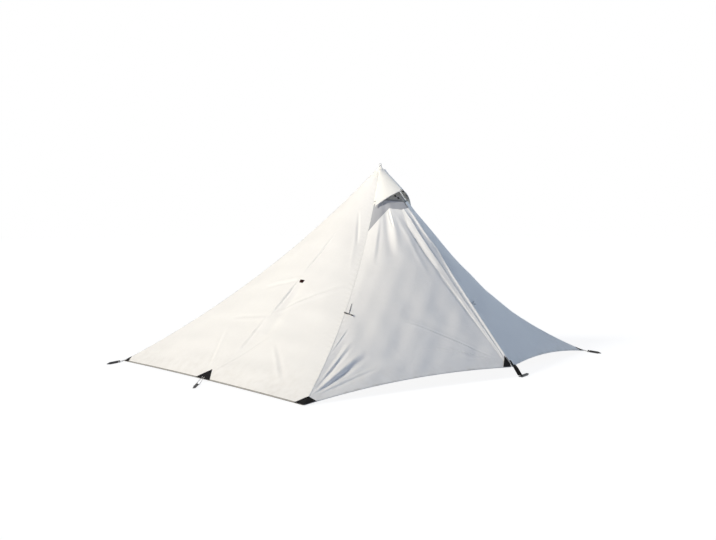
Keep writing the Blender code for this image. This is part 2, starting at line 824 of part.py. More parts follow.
def build_prop(plastic):
    """The hood's prop: a short flat strut with a knuckle at its hinge."""
    hinge, along, reach = prop_frame()
    side = Vector((1.0, 0.0, 0.0))
    flat = side.cross(along).normalized()
    half = PROP_WIDTH / 2
    strut = outline_solid(
        "hood_prop", hinge, (along, side, flat),
        [(0.0, -half * 0.7), (reach * 0.25, -half * 0.55), (reach * 0.75, -half * 0.55),
         (reach * 0.88, -half), (reach, -half * 0.8), (reach, half * 0.8), (reach * 0.88, half),
         (reach * 0.75, half * 0.55), (reach * 0.25, half * 0.55), (0.0, half * 0.7)],
        -PROP_THICKNESS / 2, PROP_THICKNESS / 2, plastic)
    ring = [(PROP_KNUCKLE * math.cos(math.pi * k / 5), PROP_KNUCKLE * math.sin(math.pi * k / 5))
            for k in range(10)]
    knuckle = outline_solid("hood_prop_knuckle", hinge, (along, flat, side), ring, -half, half, plastic)
    return join_solids(strut, [knuckle])


def patch_sheet(name, left_panel, right_panel, left_width, right_width, rise, material):
    """A sewn patch over a ridge's foot: a kite folded over the seam of two panels."""
    rows = 4
    half = 3
    low = []
    high = []
    base = left_panel.rise_share(PATCH_EDGE)
    for r in range(rows):
        share = r / (rows - 1)
        v = base + left_panel.rise_share(rise) * share
        for k in range(-half, half + 1):
            panel = left_panel if k < 0 else right_panel
            width = (left_width if k < 0 else right_width) * (1 - share)
            reach = panel.seam_share(width * abs(k) / half, v)
            u = 1.0 - reach if k < 0 else reach
            way = panel.normal(u, v)
            lift = LIFT
            if k == 0 or share == 1.0:
                way = -right_panel.inward(right_panel.left)
                u = 0.0
                panel = right_panel
                lift = LIFT * 1.8
            low.append(panel.at(u, v) + way * lift)
            high.append(panel.at(u, v) + way * (lift + PATCH_THICKNESS))
    return thick_sheet(name, low, high, grid_faces(rows, 2 * half + 1), material)


def mid_patch(name, panel, middle, half_width, rise, material):
    """A three-sided patch sewn at the middle of a hem."""
    rows = 4
    columns = 5
    low = []
    high = []
    base = panel.rise_share(PATCH_EDGE)
    for r in range(rows):
        share = r / (rows - 1)
        v = base + panel.rise_share(rise) * share
        for k in range(columns):
            across = half_width * (1 - share) * (2 * k / (columns - 1) - 1)
            u = middle + panel.seam_share(across, v)
            low.append(panel.offset(u, v, FLAT_LIFT))
            high.append(panel.offset(u, v, FLAT_LIFT + PATCH_THICKNESS))
    return thick_sheet(name, low, high, grid_faces(rows, columns), material)


def door_patch(panel, material):
    """The three-sided patch at the door's lower corner, beside the zip."""
    rows = 4
    columns = 4
    low = []
    high = []
    base = panel.rise_share(PATCH_EDGE)
    for r in range(rows):
        share = r / (rows - 1)
        v = base + panel.rise_share(DOOR_PATCH_RISE) * share
        for k in range(columns):
            across = SLIDER_WIDTH / 2 + 4 * GAP + DOOR_PATCH_WIDTH * (1 - share) * k / (columns - 1)
            u = 1.0 - panel.seam_share(across, v)
            low.append(panel.offset(u, v, LIFT))
            high.append(panel.offset(u, v, LIFT + PATCH_THICKNESS))
    return thick_sheet("door_patch", low, high, grid_faces(rows, columns), material)


def peg_axis_height():
    """Height of a lying peg's middle, with its two lower fins on the ground."""
    return PEG_FIN * 0.5 + PEG_FIN_HALF * math.cos(math.radians(30.0))


def build_peg(name, head, way, metal):
    """A three-finned peg that lies on the ground, with a neck behind its head."""
    side = UP.cross(way).normalized()
    step = PEG_NECK_STEP
    neck_end = PEG_HEAD_LENGTH + PEG_NECK_LENGTH
    stations = [(0.0, PEG_FIN * 0.82), (0.0012, PEG_FIN), (PEG_HEAD_LENGTH, PEG_FIN),
                (PEG_HEAD_LENGTH + step, PEG_NECK_FIN), (neck_end - step, PEG_NECK_FIN),
                (neck_end, PEG_FIN), (PEG_LENGTH - 0.026, PEG_FIN), (PEG_LENGTH, PEG_FIN * 0.22)]
    bm = bmesh.new()
    rings = []
    for along, fin in stations:
        ring = []
        for k in range(3):
            turn = math.radians(90.0 + 120.0 * k)
            for width, reach, swing in ((-PEG_FIN_HALF, fin, 0.0), (PEG_FIN_HALF, fin, 0.0),
                                        (0.0, PEG_FIN_HALF / math.sin(PEG_VALLEY_TURN), PEG_VALLEY_TURN)):
                y = reach * math.cos(turn + swing) - width * math.sin(turn + swing)
                z = reach * math.sin(turn + swing) + width * math.cos(turn + swing)
                ring.append(bm.verts.new(head + way * along + side * y + UP * z))
        rings.append(ring)
    for first, second in zip(rings, rings[1:]):
        for k in range(9):
            n = (k + 1) % 9
            bm.faces.new([first[k], first[n], second[n], second[k]])
    bm.faces.new(list(reversed(rings[0])))
    bm.faces.new(rings[-1])
    bmesh.ops.triangulate(bm, faces=bm.faces)
    return mesh_object(name, bm, metal, smooth=False)


def loop_route(starts, lead, head, way):
    """Half the route of a pegging loop, from the cloth to the peg's neck, for each side."""
    side = UP.cross(way).normalized()
    beside = PEG_FIN + LOOP_RADIUS + GAP
    neck = PEG_HEAD_LENGTH + PEG_NECK_LENGTH / 2
    over = PEG_NECK_FIN + LOOP_RADIUS + 2 * GAP
    halves = []
    for start, sign in zip(starts, (1, -1)):
        halves.append([
            *start,
            lead + side * (sign * LOOP_SPREAD),
            head + side * (sign * beside) - way * 0.004 - UP * 0.0012,
            head + side * (sign * beside) + way * (neck - 0.006) - UP * 0.0004,
            head + side * (sign * beside * 0.78) + way * neck + UP * (over * 0.22),
            head + side * (sign * beside * 0.42) + way * neck + UP * (over * 0.80),
        ])
    return halves[0] + [head + way * neck + UP * over] + halves[1][::-1]


def sewn_end(panel, u, across):
    """First two points of a loop's half: on the patch and just above the hem's edge."""
    height = LIFT + PATCH_THICKNESS + LOOP_RADIUS + GAP
    places = []
    for rise, lift in ((0.016, 0.0), (0.004, 0.0010)):
        v = panel.rise_share(rise)
        places.append(panel.offset(u + panel.seam_share(across, v), v, height + lift))
    return places


def corner_loop(name, left_panel, right_panel, way, material):
    """A cord loop from both sides of a ridge's foot to a peg."""
    corner = right_panel.left
    left = sewn_end(left_panel, 1.0, -0.013)
    right = sewn_end(right_panel, 0.0, 0.013)
    side = UP.cross(way)
    starts = (right, left) if (right[0] - left[0]).dot(side) > 0 else (left, right)
    head = loop_head(corner, way, CORNER_LOOP)
    lead = Vector((corner.x, corner.y, corner.z + 0.0015)) + way * 0.012
    return cord(name, loop_route(starts, lead, head, way), LOOP_RADIUS, material, steps=2)


def loop_head(foot, way, length):
    """Middle of a peg's head at the end of a loop."""
    place = foot + way * length
    return Vector((place.x, place.y, peg_axis_height()))


def mid_loop(name, panel, middle, way, length, material):
    """A cord loop from the middle of a hem to a peg."""
    foot = panel.at(middle, 0.0)
    left = sewn_end(panel, middle, -0.009)
    right = sewn_end(panel, middle, 0.009)
    side = UP.cross(way)
    starts = (right, left) if (right[0] - left[0]).dot(side) > 0 else (left, right)
    head = loop_head(foot, way, length)
    lead = Vector((foot.x, foot.y, foot.z + 0.0030)) + way * 0.022
    return cord(name, loop_route(starts, lead, head, way), LOOP_RADIUS, material, steps=2)


def tube_mesh(name, route, radius, material, sides=6):
    """A round mesh tube along a route, for fusing with another solid."""
    bm = bmesh.new()
    rings = []
    side = None
    for i, place in enumerate(route):
        ahead = route[min(i + 1, len(route) - 1)] - route[max(i - 1, 0)]
        ahead.normalize()
        if side is None:
            side = ahead.orthogonal().normalized()
        side = (side - ahead * side.dot(ahead)).normalized()
        other = ahead.cross(side)
        rings.append([bm.verts.new(place + (side * math.cos(2 * math.pi * k / sides)
                                            + other * math.sin(2 * math.pi * k / sides)) * radius)
                      for k in range(sides)])
    for first, second in zip(rings, rings[1:]):
        for k in range(sides):
            n = (k + 1) % sides
            bm.faces.new([first[k], first[n], second[n], second[k]])
    bm.faces.new(list(reversed(rings[0])))
    bm.faces.new(rings[-1])
    return mesh_object(name, bm, material)


def ribbon(name, route, sides, width, thickness, material):
    """A flat band along a route; sides are its sideways directions."""
    low = []
    high = []
    for i, (place, side) in enumerate(zip(route, sides)):
        ahead = route[min(i + 1, len(route) - 1)] - route[max(i - 1, 0)]
        up = side.cross(ahead).normalized()
        for across in (-0.5, 0.0, 0.5):
            low.append(place + side * (width * across))
            high.append(place + side * (width * across) + up * thickness)
    return thick_sheet(name, low, high, grid_faces(len(route), 3), material)


def strap_way():
    """Level direction in which the door's strap leaves the corner."""
    return Vector((0.71, -0.70, 0.0)).normalized()


def strap_peg_way():
    """Level direction in which the door's peg lies."""
    return Vector((0.98, 0.20, 0.0)).normalized()


def strap_head():
    """Middle of the door peg's head."""
    place = DOOR_POINT + strap_way() * STRAP_REACH
    return Vector((place.x, place.y, peg_axis_height()))


def build_strap(panels, webbing):
    """The door's strap: sewn beside the zip, led over the hem and looped on its peg."""
    panel = panels["front_right"]
    way = strap_peg_way()
    side = (panel.left - panel.right).normalized()
    turned = Vector((-0.59, 0.81, 0.0)).normalized()
    middle = STRAP_WIDTH / 2 + ZIP_EDGE + 2 * GAP
    sewn = panel.offset(panel.seam_share(middle, 0.045), 0.045, LIFT)
    edge = panel.offset(panel.seam_share(middle, 0.006), 0.006, LIFT + GAP)
    head = strap_head()
    end = head - way * 0.006 + UP * 0.0075
    over = edge + (strap_way() * 0.3 + UP.cross(side)).normalized() * 0.012 - UP * 0.005
    route = smooth_route([sewn, edge, over, end], 4)
    turns = [min(1.0, max(0.0, (i - 6) / 5)) for i in range(len(route))]
    sides = [side.lerp(turned, share * share * (3 - 2 * share)).normalized() for share in turns]
    band = ribbon("door_strap", route, sides, STRAP_WIDTH, STRAP_THICKNESS, webbing)
    fall = (end - over).normalized()
    start = end - fall * 0.005 + turned.cross(fall) * (STRAP_THICKNESS / 2)
    spread_way = UP.cross(way) * (LOOP_SPREAD * 0.6)
    starts = ([start + spread_way], [start - spread_way])
    route = loop_route(starts, head - way * 0.007 + UP * 0.004, head, way)
    loop = tube_mesh("door_strap_loop", smooth_route(route, 2), LOOP_RADIUS, webbing)
    return join_solids(band, [loop])


def build_pullout(name, panel, u, v, webbing):
    """A sewn tab part-way up a panel, with a webbing loop for an extra guy line."""
    low = []
    high = []
    for r in range(3):
        share = r / 2
        height = v + panel.rise_share(PULLOUT_HEIGHT) * (share - 0.5)
        width = PULLOUT_FOOT_WIDTH + (PULLOUT_TOP_WIDTH - PULLOUT_FOOT_WIDTH) * share
        for k in range(5):
            place = u + panel.seam_share(width * (k / 4 - 0.5), height)
            low.append(panel.offset(place, height, FLAT_LIFT))
            high.append(panel.offset(place, height, FLAT_LIFT + PULLOUT_THICKNESS))
    plate = thick_sheet(name, low, high, grid_faces(3, 5), webbing)
    out = panel.normal(u, v)
    across = (panel.right - panel.left).normalized()
    across = (across - out * across.dot(out)).normalized()
    upward = out.cross(across)
    outer = PULLOUT_LOOP
    inner = PULLOUT_LOOP - PULLOUT_THICKNESS
    arch = []
    for radius, turns in ((outer, range(0, 9)), (inner, range(8, -1, -1))):
        for k in turns:
            angle = math.pi * k / 8
            arch.append((radius * math.cos(angle), radius * math.sin(angle) * 1.25))
    foot = panel.offset(u, v, FLAT_LIFT + PULLOUT_THICKNESS / 2)
    loop = outline_solid(name + "_loop", foot, (upward, out, across), arch, -0.006, 0.006, webbing)
    return join_solids(plate, [loop])


def build_toggle(panel, webbing):
    """The tie-back of the rolled door: a toggle on a short cord beside the hanging line."""
    out = panel.normal(TIEBACK_ACROSS, TIEBACK_HEIGHT)
    height = LIFT + TOGGLE_RADIUS
    low = TIEBACK_HEIGHT - panel.rise_share(TIEBACK_DROP)
    centre = panel.offset(TIEBACK_ACROSS, low, height)
    along = (panel.offset(TIEBACK_ACROSS + 0.01, low - 0.01 * TOGGLE_TURN, height) - centre).normalized()
    rod_route = [centre + along * (TOGGLE_LENGTH * (k / 4 - 0.5)) for k in range(5)]
    rod = tube_mesh("tieback_toggle", rod_route, TOGGLE_RADIUS, webbing, sides=10)
    steps = [TIEBACK_HEIGHT + (low - TIEBACK_HEIGHT) * k / 5 for k in range(6)]
    line = [panel.offset(TIEBACK_ACROSS, v, LIFT + LOOP_RADIUS) for v in steps]
    string = tube_mesh("tieback_string", line, LOOP_RADIUS, webbing)
    return join_solids(rod, [string])


def pole_seat(panels):
    """Height at which the grip's crown meets the inside of the cap."""
    seat = PEAK.z
    for panel in panels.values():
        for k in range(400):
            v = 1.0 - k * 0.0001
            place = panel.at(0.0, v) + panel.inward(panel.left) * (CAP_WALL + GAP)
            reach = Vector((place.x - PEAK.x, place.y - PEAK.y)).length
            if reach >= GRIP_TOP_RADIUS:
                seat = min(seat, place.z)
                break
    return seat


def build_shafts(top, alloy):
    """The three telescoping shafts of the trekking pole that holds the tent up."""
    centre = PEAK
    turned("pole_lower", [
        (0.0, 0.0), (TIP_RADIUS * 0.6, 0.0), (TIP_RADIUS, 0.003), (TIP_RADIUS, 0.016),
        (LOWER_SHAFT_RADIUS, TIP_LENGTH), (LOWER_SHAFT_RADIUS, LOWER_SHAFT_TOP),
        (LOWER_SHAFT_RADIUS - SHAFT_WALL, LOWER_SHAFT_TOP),
        (LOWER_SHAFT_RADIUS - SHAFT_WALL, TIP_LENGTH + 0.004), (0.0, TIP_LENGTH + 0.002)],
        centre, alloy, 20)
    inner = LOWER_SHAFT_RADIUS + GAP
    turned("pole_mid", [
        (inner, MID_SHAFT_BOTTOM), (inner + SHAFT_WALL, MID_SHAFT_BOTTOM),
        (inner + SHAFT_WALL, MID_SHAFT_TOP), (inner, MID_SHAFT_TOP)], centre, alloy, 20)
    inner += SHAFT_WALL + GAP
    turned("pole_upper", [
        (inner, UPPER_SHAFT_BOTTOM), (inner + SHAFT_WALL, UPPER_SHAFT_BOTTOM),
        (inner + SHAFT_WALL, top - GRIP_CROWN), (inner, top - GRIP_CROWN)], centre, alloy, 20)
    return inner + SHAFT_WALL


def build_grip(shaft_radius, top, rubber):
    """The grip: a waisted sleeve with a crown, closed over the upper shaft."""
    bore = shaft_radius + GAP
    length = top - GRIP_BOTTOM
    body = [(GRIP_RADIUS * 0.82, 0.0), (GRIP_RADIUS * 0.92, 0.03), (GRIP_RADIUS * 1.0, 0.16),
            (GRIP_RADIUS * 0.84, 0.34), (GRIP_RADIUS * 0.92, 0.52), (GRIP_RADIUS * 0.84, 0.68),
            (GRIP_RADIUS * 0.90, 0.84)]
    profile = [(bore, GRIP_BOTTOM)]
    profile += [(radius, GRIP_BOTTOM + length * share) for radius, share in body]
    profile += [(bore + 0.0015, top - GRIP_CROWN * 0.75), (GRIP_TOP_RADIUS, top), (0.0, top),
                (0.0, top - GRIP_CROWN + GAP), (bore, top - GRIP_CROWN + GAP)]
    return turned("pole_grip", profile, PEAK, rubber, 24)


def build_lock(tag, shaft_radius, bottom, plastic):
    """A lever lock: a collar with two lugs and a pin, and the lever that turns on the pin."""
    inner = shaft_radius + GAP
    outer = inner + COLLAR_WALL
    pin_x = -(outer + KNUCKLE_RADIUS + 2 * GAP)
    collar = turned(f"lock_collar_{tag}", [
        (inner, bottom), (outer - 0.0008, bottom), (outer, bottom + 0.0012),
        (outer, bottom + COLLAR_HEIGHT - 0.0012), (outer - 0.0008, bottom + COLLAR_HEIGHT),
        (inner, bottom + COLLAR_HEIGHT)], PEAK, plastic, 24)
    lugs = []
    for k, low in enumerate((bottom, bottom + COLLAR_HEIGHT - LUG_THICKNESS)):
        arc = [(pin_x + KNUCKLE_RADIUS * math.cos(math.radians(a)),
                PEAK.y + KNUCKLE_RADIUS * math.sin(math.radians(a))) for a in range(90, 271, 30)]
        root = -inner - COLLAR_WALL * 0.5
        outline = [(root, PEAK.y - KNUCKLE_RADIUS), (root, PEAK.y + KNUCKLE_RADIUS)] + arc
        lugs.append(prism(f"lock_lug_{tag}_{k}", outline, low, low + LUG_THICKNESS, plastic))
    round_pin = [(pin_x + PIN_RADIUS * math.cos(math.pi * k / 5),
                  PEAK.y + PIN_RADIUS * math.sin(math.pi * k / 5)) for k in range(10)]
    pin = prism(f"lock_pin_{tag}", round_pin, bottom + LUG_THICKNESS * 0.5,
                bottom + COLLAR_HEIGHT - LUG_THICKNESS * 0.5, plastic)
    join_solids(collar, lugs + [pin])
    build_lever(tag, outer, pin_x, bottom, plastic)


def build_lever(tag, collar_radius, pin_x, bottom, plastic):
    """The curved lever that lies round the collar when the lock is shut."""
    low = bottom + LUG_THICKNESS + GAP
    high = bottom + COLLAR_HEIGHT - LUG_THICKNESS - GAP
    near = collar_radius + GAP
    far = near + LEVER_THICKNESS
    first, last = 189.0, 318.0
    steps = 8
    angles = [math.radians(first + (last - first) * k / steps) for k in range(steps + 1)]
    outline = [(near * math.cos(a), PEAK.y + near * math.sin(a)) for a in angles]
    outline += [((far + 0.0016) * math.cos(angles[-1]), PEAK.y + (far + 0.0016) * math.sin(angles[-1]))]
    outline += [(far * math.cos(a), PEAK.y + far * math.sin(a)) for a in reversed(angles[:-1])]
    lever = prism(f"lock_lever_{tag}", outline, low, high, plastic)
    sides = 12
    ring = [(pin_x + KNUCKLE_RADIUS * math.cos(2 * math.pi * k / sides),
             PEAK.y + KNUCKLE_RADIUS * math.sin(2 * math.pi * k / sides)) for k in range(sides)]
    knuckle = prism(f"lock_knuckle_{tag}", ring, low, high, plastic)
    join_solids(lever, [knuckle])
    hole = [(pin_x + (PIN_RADIUS + GAP) * math.cos(2 * math.pi * k / sides),
             PEAK.y + (PIN_RADIUS + GAP) * math.sin(2 * math.pi * k / sides)) for k in range(sides)]
    bore = prism(f"lock_bore_{tag}", hole, low - 0.002, high + 0.002, plastic)
    cut = lever.modifiers.new("bore", "BOOLEAN")
    cut.operation = "DIFFERENCE"
    cut.object = bore
    bore.hide_render = True
    bore.display_type = "WIRE"


def tub_corner(x_sign, y_sign, height, wall=0.0):
    """Corner of the tub at a height; the walls lean in, and wall moves the point inside."""
    lean = TUB_LEAN * height / TUB_HEIGHT + wall
    y = INNER_REAR - lean if y_sign > 0 else INNER_FRONT + lean
    return Vector((x_sign * (INNER_LENGTH / 2 - lean), y, height))


def inner_peak():
    """Top of the inner tent, above its front wall."""
    return Vector((0.0, INNER_FRONT + TUB_LEAN, INNER_PEAK_HEIGHT))


def build_tub(cloth):
    """The bathtub floor: a sheet whose four sides stand up."""
    around = ((-1, -1), (1, -1), (1, 1), (-1, 1))
    bm = bmesh.new()
    base = [bm.verts.new(tub_corner(x, y, 0.0)) for x, y in around]
    rim = [bm.verts.new(tub_corner(x, y, TUB_HEIGHT)) for x, y in around]
    lip = [bm.verts.new(tub_corner(x, y, TUB_HEIGHT, TUB_WALL)) for x, y in around]
    floor = [bm.verts.new(tub_corner(x, y, TUB_WALL, TUB_WALL)) for x, y in around]
    bm.faces.new(list(reversed(base)))
    bm.faces.new(floor)
    for low, high in ((base, rim), (rim, lip), (lip, floor)):
        for k in range(4):
            n = (k + 1) % 4
            bm.faces.new([low[k], low[n], high[n], high[k]])
    return mesh_object("tub_floor", bm, cloth, smooth=False)


def inner_panels():
    """The sloping net walls of the inner tent, seen from outside."""
    top = inner_peak()
    height = TUB_HEIGHT + GAP
    front_left, front_right = tub_corner(-1, -1, height), tub_corner(1, -1, height)
    rear_left, rear_right = tub_corner(-1, 1, height), tub_corner(1, 1, height)
    return {
        "inner_left": Panel(rear_left, front_left, top, thickness=INNER_THICKNESS),
        "inner_right": Panel(front_right, rear_right, top, thickness=INNER_THICKNESS),
        "inner_rear": Panel(rear_right, rear_left, top, thickness=INNER_THICKNESS),
    }


def build_inner_walls(net):
    """The two end walls and the rear wall of the inner tent."""
    for name, panel in inner_panels().items():
        span = ridge_span(panel)
        panel.solid(name, [panel.rise_share(GAP), INNER_WALL_TOP], span, 2, net, True, True)


def inner_front_outline():
    """Corners of the front wall: left, right and top, clear of the sloping walls' edges."""
    top = inner_peak()
    left, right = tub_corner(-1, -1, TUB_HEIGHT), tub_corner(1, -1, TUB_HEIGHT)
    slope = math.atan2(top.z - right.z, right.x - top.x)
    inset = INNER_THICKNESS + GAP
    sideways = inset / math.sin(slope)
    drop = inset / math.cos(slope)
    base = TUB_HEIGHT + GAP
    shift = sideways + GAP / math.tan(slope)
    return (Vector((left.x + shift, left.y, base)), Vector((right.x - shift, right.y, base)),
            Vector((top.x, top.y, top.z - drop)))


def inner_door_outline(grow=0.0):
    """Corners of the inner door: lower left, lower right and top; grow widens it all round."""
    left, right, top = inner_front_outline()
    slope = math.atan2(top.z - right.z, right.x - top.x)
    margin = INNER_DOOR_MARGIN - grow
    x = top.x + INNER_DOOR_SIDE - grow
    z = right.z + INNER_DOOR_SILL - grow
    reach = margin / math.sin(slope)
    rise = margin / math.cos(slope)
    low_right = right.x - (z - right.z) / math.tan(slope) - reach
    high = top.z - (x - top.x) * math.tan(slope) - rise
    return Vector((x, top.y, z)), Vector((low_right, top.y, z)), Vector((x, top.y, high))


def build_inner_front(net):
    """The upright front wall with the opening of its door."""
    outer = list(inner_front_outline())
    hole = list(inner_door_outline(2 * SEAM_GAP))
    points = outer + hole
    back = Vector((0.0, INNER_THICKNESS, 0.0))
    faces = [[0, 1, 4, 3], [1, 2, 5, 4], [2, 0, 3, 5]]
    return thick_sheet("inner_front", [p + back for p in points], points, faces, net)


def build_inner_door(net):
    """The leaf of the inner door, its two hinge corners cut short so that they turn freely."""
    low, right, high = inner_door_outline()
    hinge_way = (high - right).normalized() * INNER_DOOR_CORNER
    points = [low, right + (low - right).normalized() * INNER_DOOR_CORNER, right + hinge_way,
              high - hinge_way, high + (low - high).normalized() * INNER_DOOR_CORNER]
    back = Vector((0.0, INNER_THICKNESS, 0.0))
    return thick_sheet("inner_door", [p + back for p in points], points, [list(range(5))], net)


def build_inner_slider(metal):
    """The slider on the inner door's upright zip, with its pull."""
    low, _, _ = inner_door_outline()
    base = low + UP * INNER_SLIDER_START
    front = Vector((0.0, -1.0, 0.0))
    side = Vector((1.0, 0.0, 0.0))
    half = SLIDER_WIDTH / 2
    plate = outline_solid(
        "inner_slider", base, (UP, side, front),
        [(0.0, -half * 0.55), (SLIDER_LENGTH * 0.35, -half), (SLIDER_LENGTH * 0.8, -half),
         (SLIDER_LENGTH, -half * 0.5), (SLIDER_LENGTH, half * 0.5), (SLIDER_LENGTH * 0.8, half),
         (SLIDER_LENGTH * 0.35, half), (0.0, half * 0.55)],
        GAP, GAP + 0.0022, metal)
    pull = outline_solid(
        "inner_slider_pull", base, (UP, side, front),
        [(SLIDER_LENGTH * 0.6, -0.0030), (SLIDER_LENGTH * 0.6, 0.0030), (-0.020, 0.0034),
         (-0.024, 0.0), (-0.020, -0.0034)],
        GAP + 0.0018, GAP + 0.0038, metal)
    return join_solids(plate, [pull])


def build_hook(panels, material):
    """The cord that hangs the inner tent's top from the fly."""
    _, _, top = inner_front_outline()
    start = top + Vector((0.0, INNER_THICKNESS / 2, GAP))
    rear = panels["rear"]
    end = rear.offset(0.5, HOOK_TOP, -(rear.thickness + HOOK_RADIUS * 0.75 + 2 * GAP))
    middle = start + (end - start) * 0.5 + Vector((0.0, -0.004, 0.0))
    return cord("inner_hook", [start, middle, end], HOOK_RADIUS, material, steps=5)


def build_elastics(panels, material):
    """The four shock cords that stretch the tub's corners to the fly's hem."""
    left, right = panels["left_end"], panels["right_end"]
    inside = FLY_THICKNESS + ELASTIC_RADIUS * 1.2 + 2 * GAP
    share = left.rise_share(ELASTIC_REACH)
    ends = {
        "elastic_front_left": (-1, -1, left.offset(0.5, share, -inside)),
        "elastic_front_right": (1, -1, right.offset(0.5, share, -inside)),
        "elastic_rear_left": (-1, 1, left.at(0.0, share) + left.inward(left.left) * (inside * RIDGE_ELASTIC_INSET)),
        "elastic_rear_right": (1, 1, right.at(1.0, share) + right.inward(right.right) * (inside * RIDGE_ELASTIC_INSET)),
    }
    for name, (x_sign, y_sign, end) in ends.items():
        corner = tub_corner(x_sign, y_sign, ELASTIC_HEIGHT)
        way = (end - corner).normalized()
        start = corner + way * (GAP + ELASTIC_RADIUS * 0.6)
        cord(name, [start, start + (end - start) * 0.5 - UP * 0.003, end], ELASTIC_RADIUS, material, 4)


def build_ground_fittings(panels, patch, line, metal):
    """Patches, loops and pegs round the hem."""
    left, front_left = panels["left_end"], panels["front_left"]
    front_right, right, rear = panels["front_right"], panels["right_end"], panels["rear"]
    patch_sheet("patch_rear_left", rear, left, CORNER_PATCH, CORNER_PATCH, CORNER_PATCH, patch)
    patch_sheet("patch_rear_right", right, rear, CORNER_PATCH, CORNER_PATCH, CORNER_PATCH, patch)
    patch_sheet("patch_front_right", front_right, right, CORNER_PATCH, CORNER_PATCH, CORNER_PATCH,
                patch)
    patch_sheet("patch_front_left", left, front_left, NEAR_CORNER_PATCH, NEAR_CORNER_PATCH,
                NEAR_CORNER_PATCH, patch)
    corners = {
        "rear_left": (rear, left, Vector((-0.95, -0.31, 0.0))),
        "rear_right": (right, rear, Vector((1.0, 0.35, 0.0))),
        "front_right": (front_right, right, Vector((-0.15, -0.99, 0.0))),
    }
    for tag, (left_panel, right_panel, way) in corners.items():
        way = way.normalized()
        corner_loop(f"loop_{tag}", left_panel, right_panel, way, line)
        build_peg(f"peg_{tag}", loop_head(right_panel.left, way, CORNER_LOOP), way, metal)
    middles = {
        "left_mid": (left, Vector((-0.71, -0.705, 0.0))),
        "right_mid": (right, Vector((0.95, -0.30, 0.0))),
        "rear_mid": (rear, Vector((0.10, 1.0, 0.0))),
    }
    for tag, (panel, way) in middles.items():
        way = way.normalized()
        mid_patch(f"patch_{tag}", panel, 0.5, MID_PATCH_HALF, MID_PATCH_RISE, patch)
        mid_loop(f"loop_{tag}", panel, 0.5, way, MID_LOOP, line)
        build_peg(f"peg_{tag}", loop_head(panel.at(0.5, 0.0), way, MID_LOOP), way, metal)
    door_patch(front_left, patch)
    build_strap(panels, patch)
    build_peg("peg_door", strap_head(), strap_peg_way(), metal)


def main():
    """Build the whole tent."""
    clear_scene()
    fly = make_material("fly_cloth", (0.78, 0.78, 0.77), 0.62)
    tape = make_material("zip_tape", (0.30, 0.31, 0.32), 0.70)
    metal = make_material("zip_metal", (0.10, 0.10, 0.11), 0.40, 0.6)
    patch = make_material("patch_webbing", (0.025, 0.025, 0.028), 0.80)
    line = make_material("guy_cord", (0.62, 0.62, 0.60), 0.75)
    peg = make_material("peg_alloy", (0.045, 0.045, 0.050), 0.38, 0.9)
    alloy = make_material("pole_alloy", (0.10, 0.10, 0.11), 0.35, 0.9)
    plastic = make_material("lock_plastic", (0.03, 0.03, 0.03), 0.50)
    rubber = make_material("grip_foam", (0.05, 0.05, 0.05), 0.90)
    net = make_material("inner_net", (0.16, 0.17, 0.17), 0.85)
    floor = make_material("tub_cloth", (0.22, 0.23, 0.24), 0.55)

    panels = fly_panels()
    build_fly(panels, fly)
    build_door(panels["front_left"], fly)
    build_tape("zip_tape_door", panels["front_left"], -1, tape)
    build_tape("zip_tape_frame", panels["front_right"], 1, tape)
    build_flap(panels["front_left"], fly)
    build_slider(panels["front_left"], metal)
    build_cap(panels, fly)
    build_vent_mesh(panels, net)
    build_hood(fly)
    build_prop(plastic)
    build_ground_fittings(panels, patch, line, peg)
    build_pullout("pullout_left", panels["left_end"], PULLOUT_ACROSS, PULLOUT_UP, patch)
    build_pullout("pullout_right", panels["right_end"], 1.0 - PULLOUT_ACROSS, PULLOUT_UP, patch)
    build_pullout("pullout_rear", panels["rear"], 0.5, PULLOUT_UP, patch)
    build_toggle(panels["front_left"], line)

    top = pole_seat(panels)
    upper_radius = build_shafts(top, alloy)
    build_grip(upper_radius, top, rubber)
    build_lock("mid", LOWER_SHAFT_RADIUS + GAP + SHAFT_WALL, MID_SHAFT_BOTTOM, plastic)
    build_lock("upper", upper_radius, UPPER_SHAFT_BOTTOM, plastic)

    build_tub(floor)
    build_inner_walls(net)
    build_inner_front(net)
    build_inner_door(net)
    build_inner_slider(metal)
    build_hook(panels, line)
    build_elastics(panels, line)


main()
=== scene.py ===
"""Backpacking tent: cloth, cords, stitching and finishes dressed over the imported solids.

Each part of the tent is a class with its sizes as fields. The fly's panels are read from the
same cut as the solids, at a finer step, with the small creases of pitched cloth added.
"""

import logging
from math import atan2, copysign, cos, pi, radians, sin, tan
from dataclasses import dataclass, field
from enum import Enum

import bpy
import numpy as np
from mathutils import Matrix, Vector


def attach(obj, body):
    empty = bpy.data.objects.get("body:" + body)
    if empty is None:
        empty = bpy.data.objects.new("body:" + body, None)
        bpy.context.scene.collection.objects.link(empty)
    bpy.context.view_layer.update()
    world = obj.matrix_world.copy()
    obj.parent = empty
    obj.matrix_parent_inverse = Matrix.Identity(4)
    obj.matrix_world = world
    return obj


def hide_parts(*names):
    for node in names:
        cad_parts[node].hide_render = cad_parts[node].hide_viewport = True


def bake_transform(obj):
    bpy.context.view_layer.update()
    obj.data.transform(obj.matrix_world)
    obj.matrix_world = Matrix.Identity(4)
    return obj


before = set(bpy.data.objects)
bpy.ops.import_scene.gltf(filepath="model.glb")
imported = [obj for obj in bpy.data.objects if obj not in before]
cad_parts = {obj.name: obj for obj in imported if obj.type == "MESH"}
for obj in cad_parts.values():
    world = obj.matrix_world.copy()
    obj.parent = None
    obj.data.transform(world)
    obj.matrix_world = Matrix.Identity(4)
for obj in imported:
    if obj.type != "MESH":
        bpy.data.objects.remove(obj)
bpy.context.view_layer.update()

LOG = logging.getLogger("tent")
UP = np.array([0.0, 0.0, 1.0])
Triple = tuple[float, float, float]
Rows = tuple[tuple[float, ...], ...]
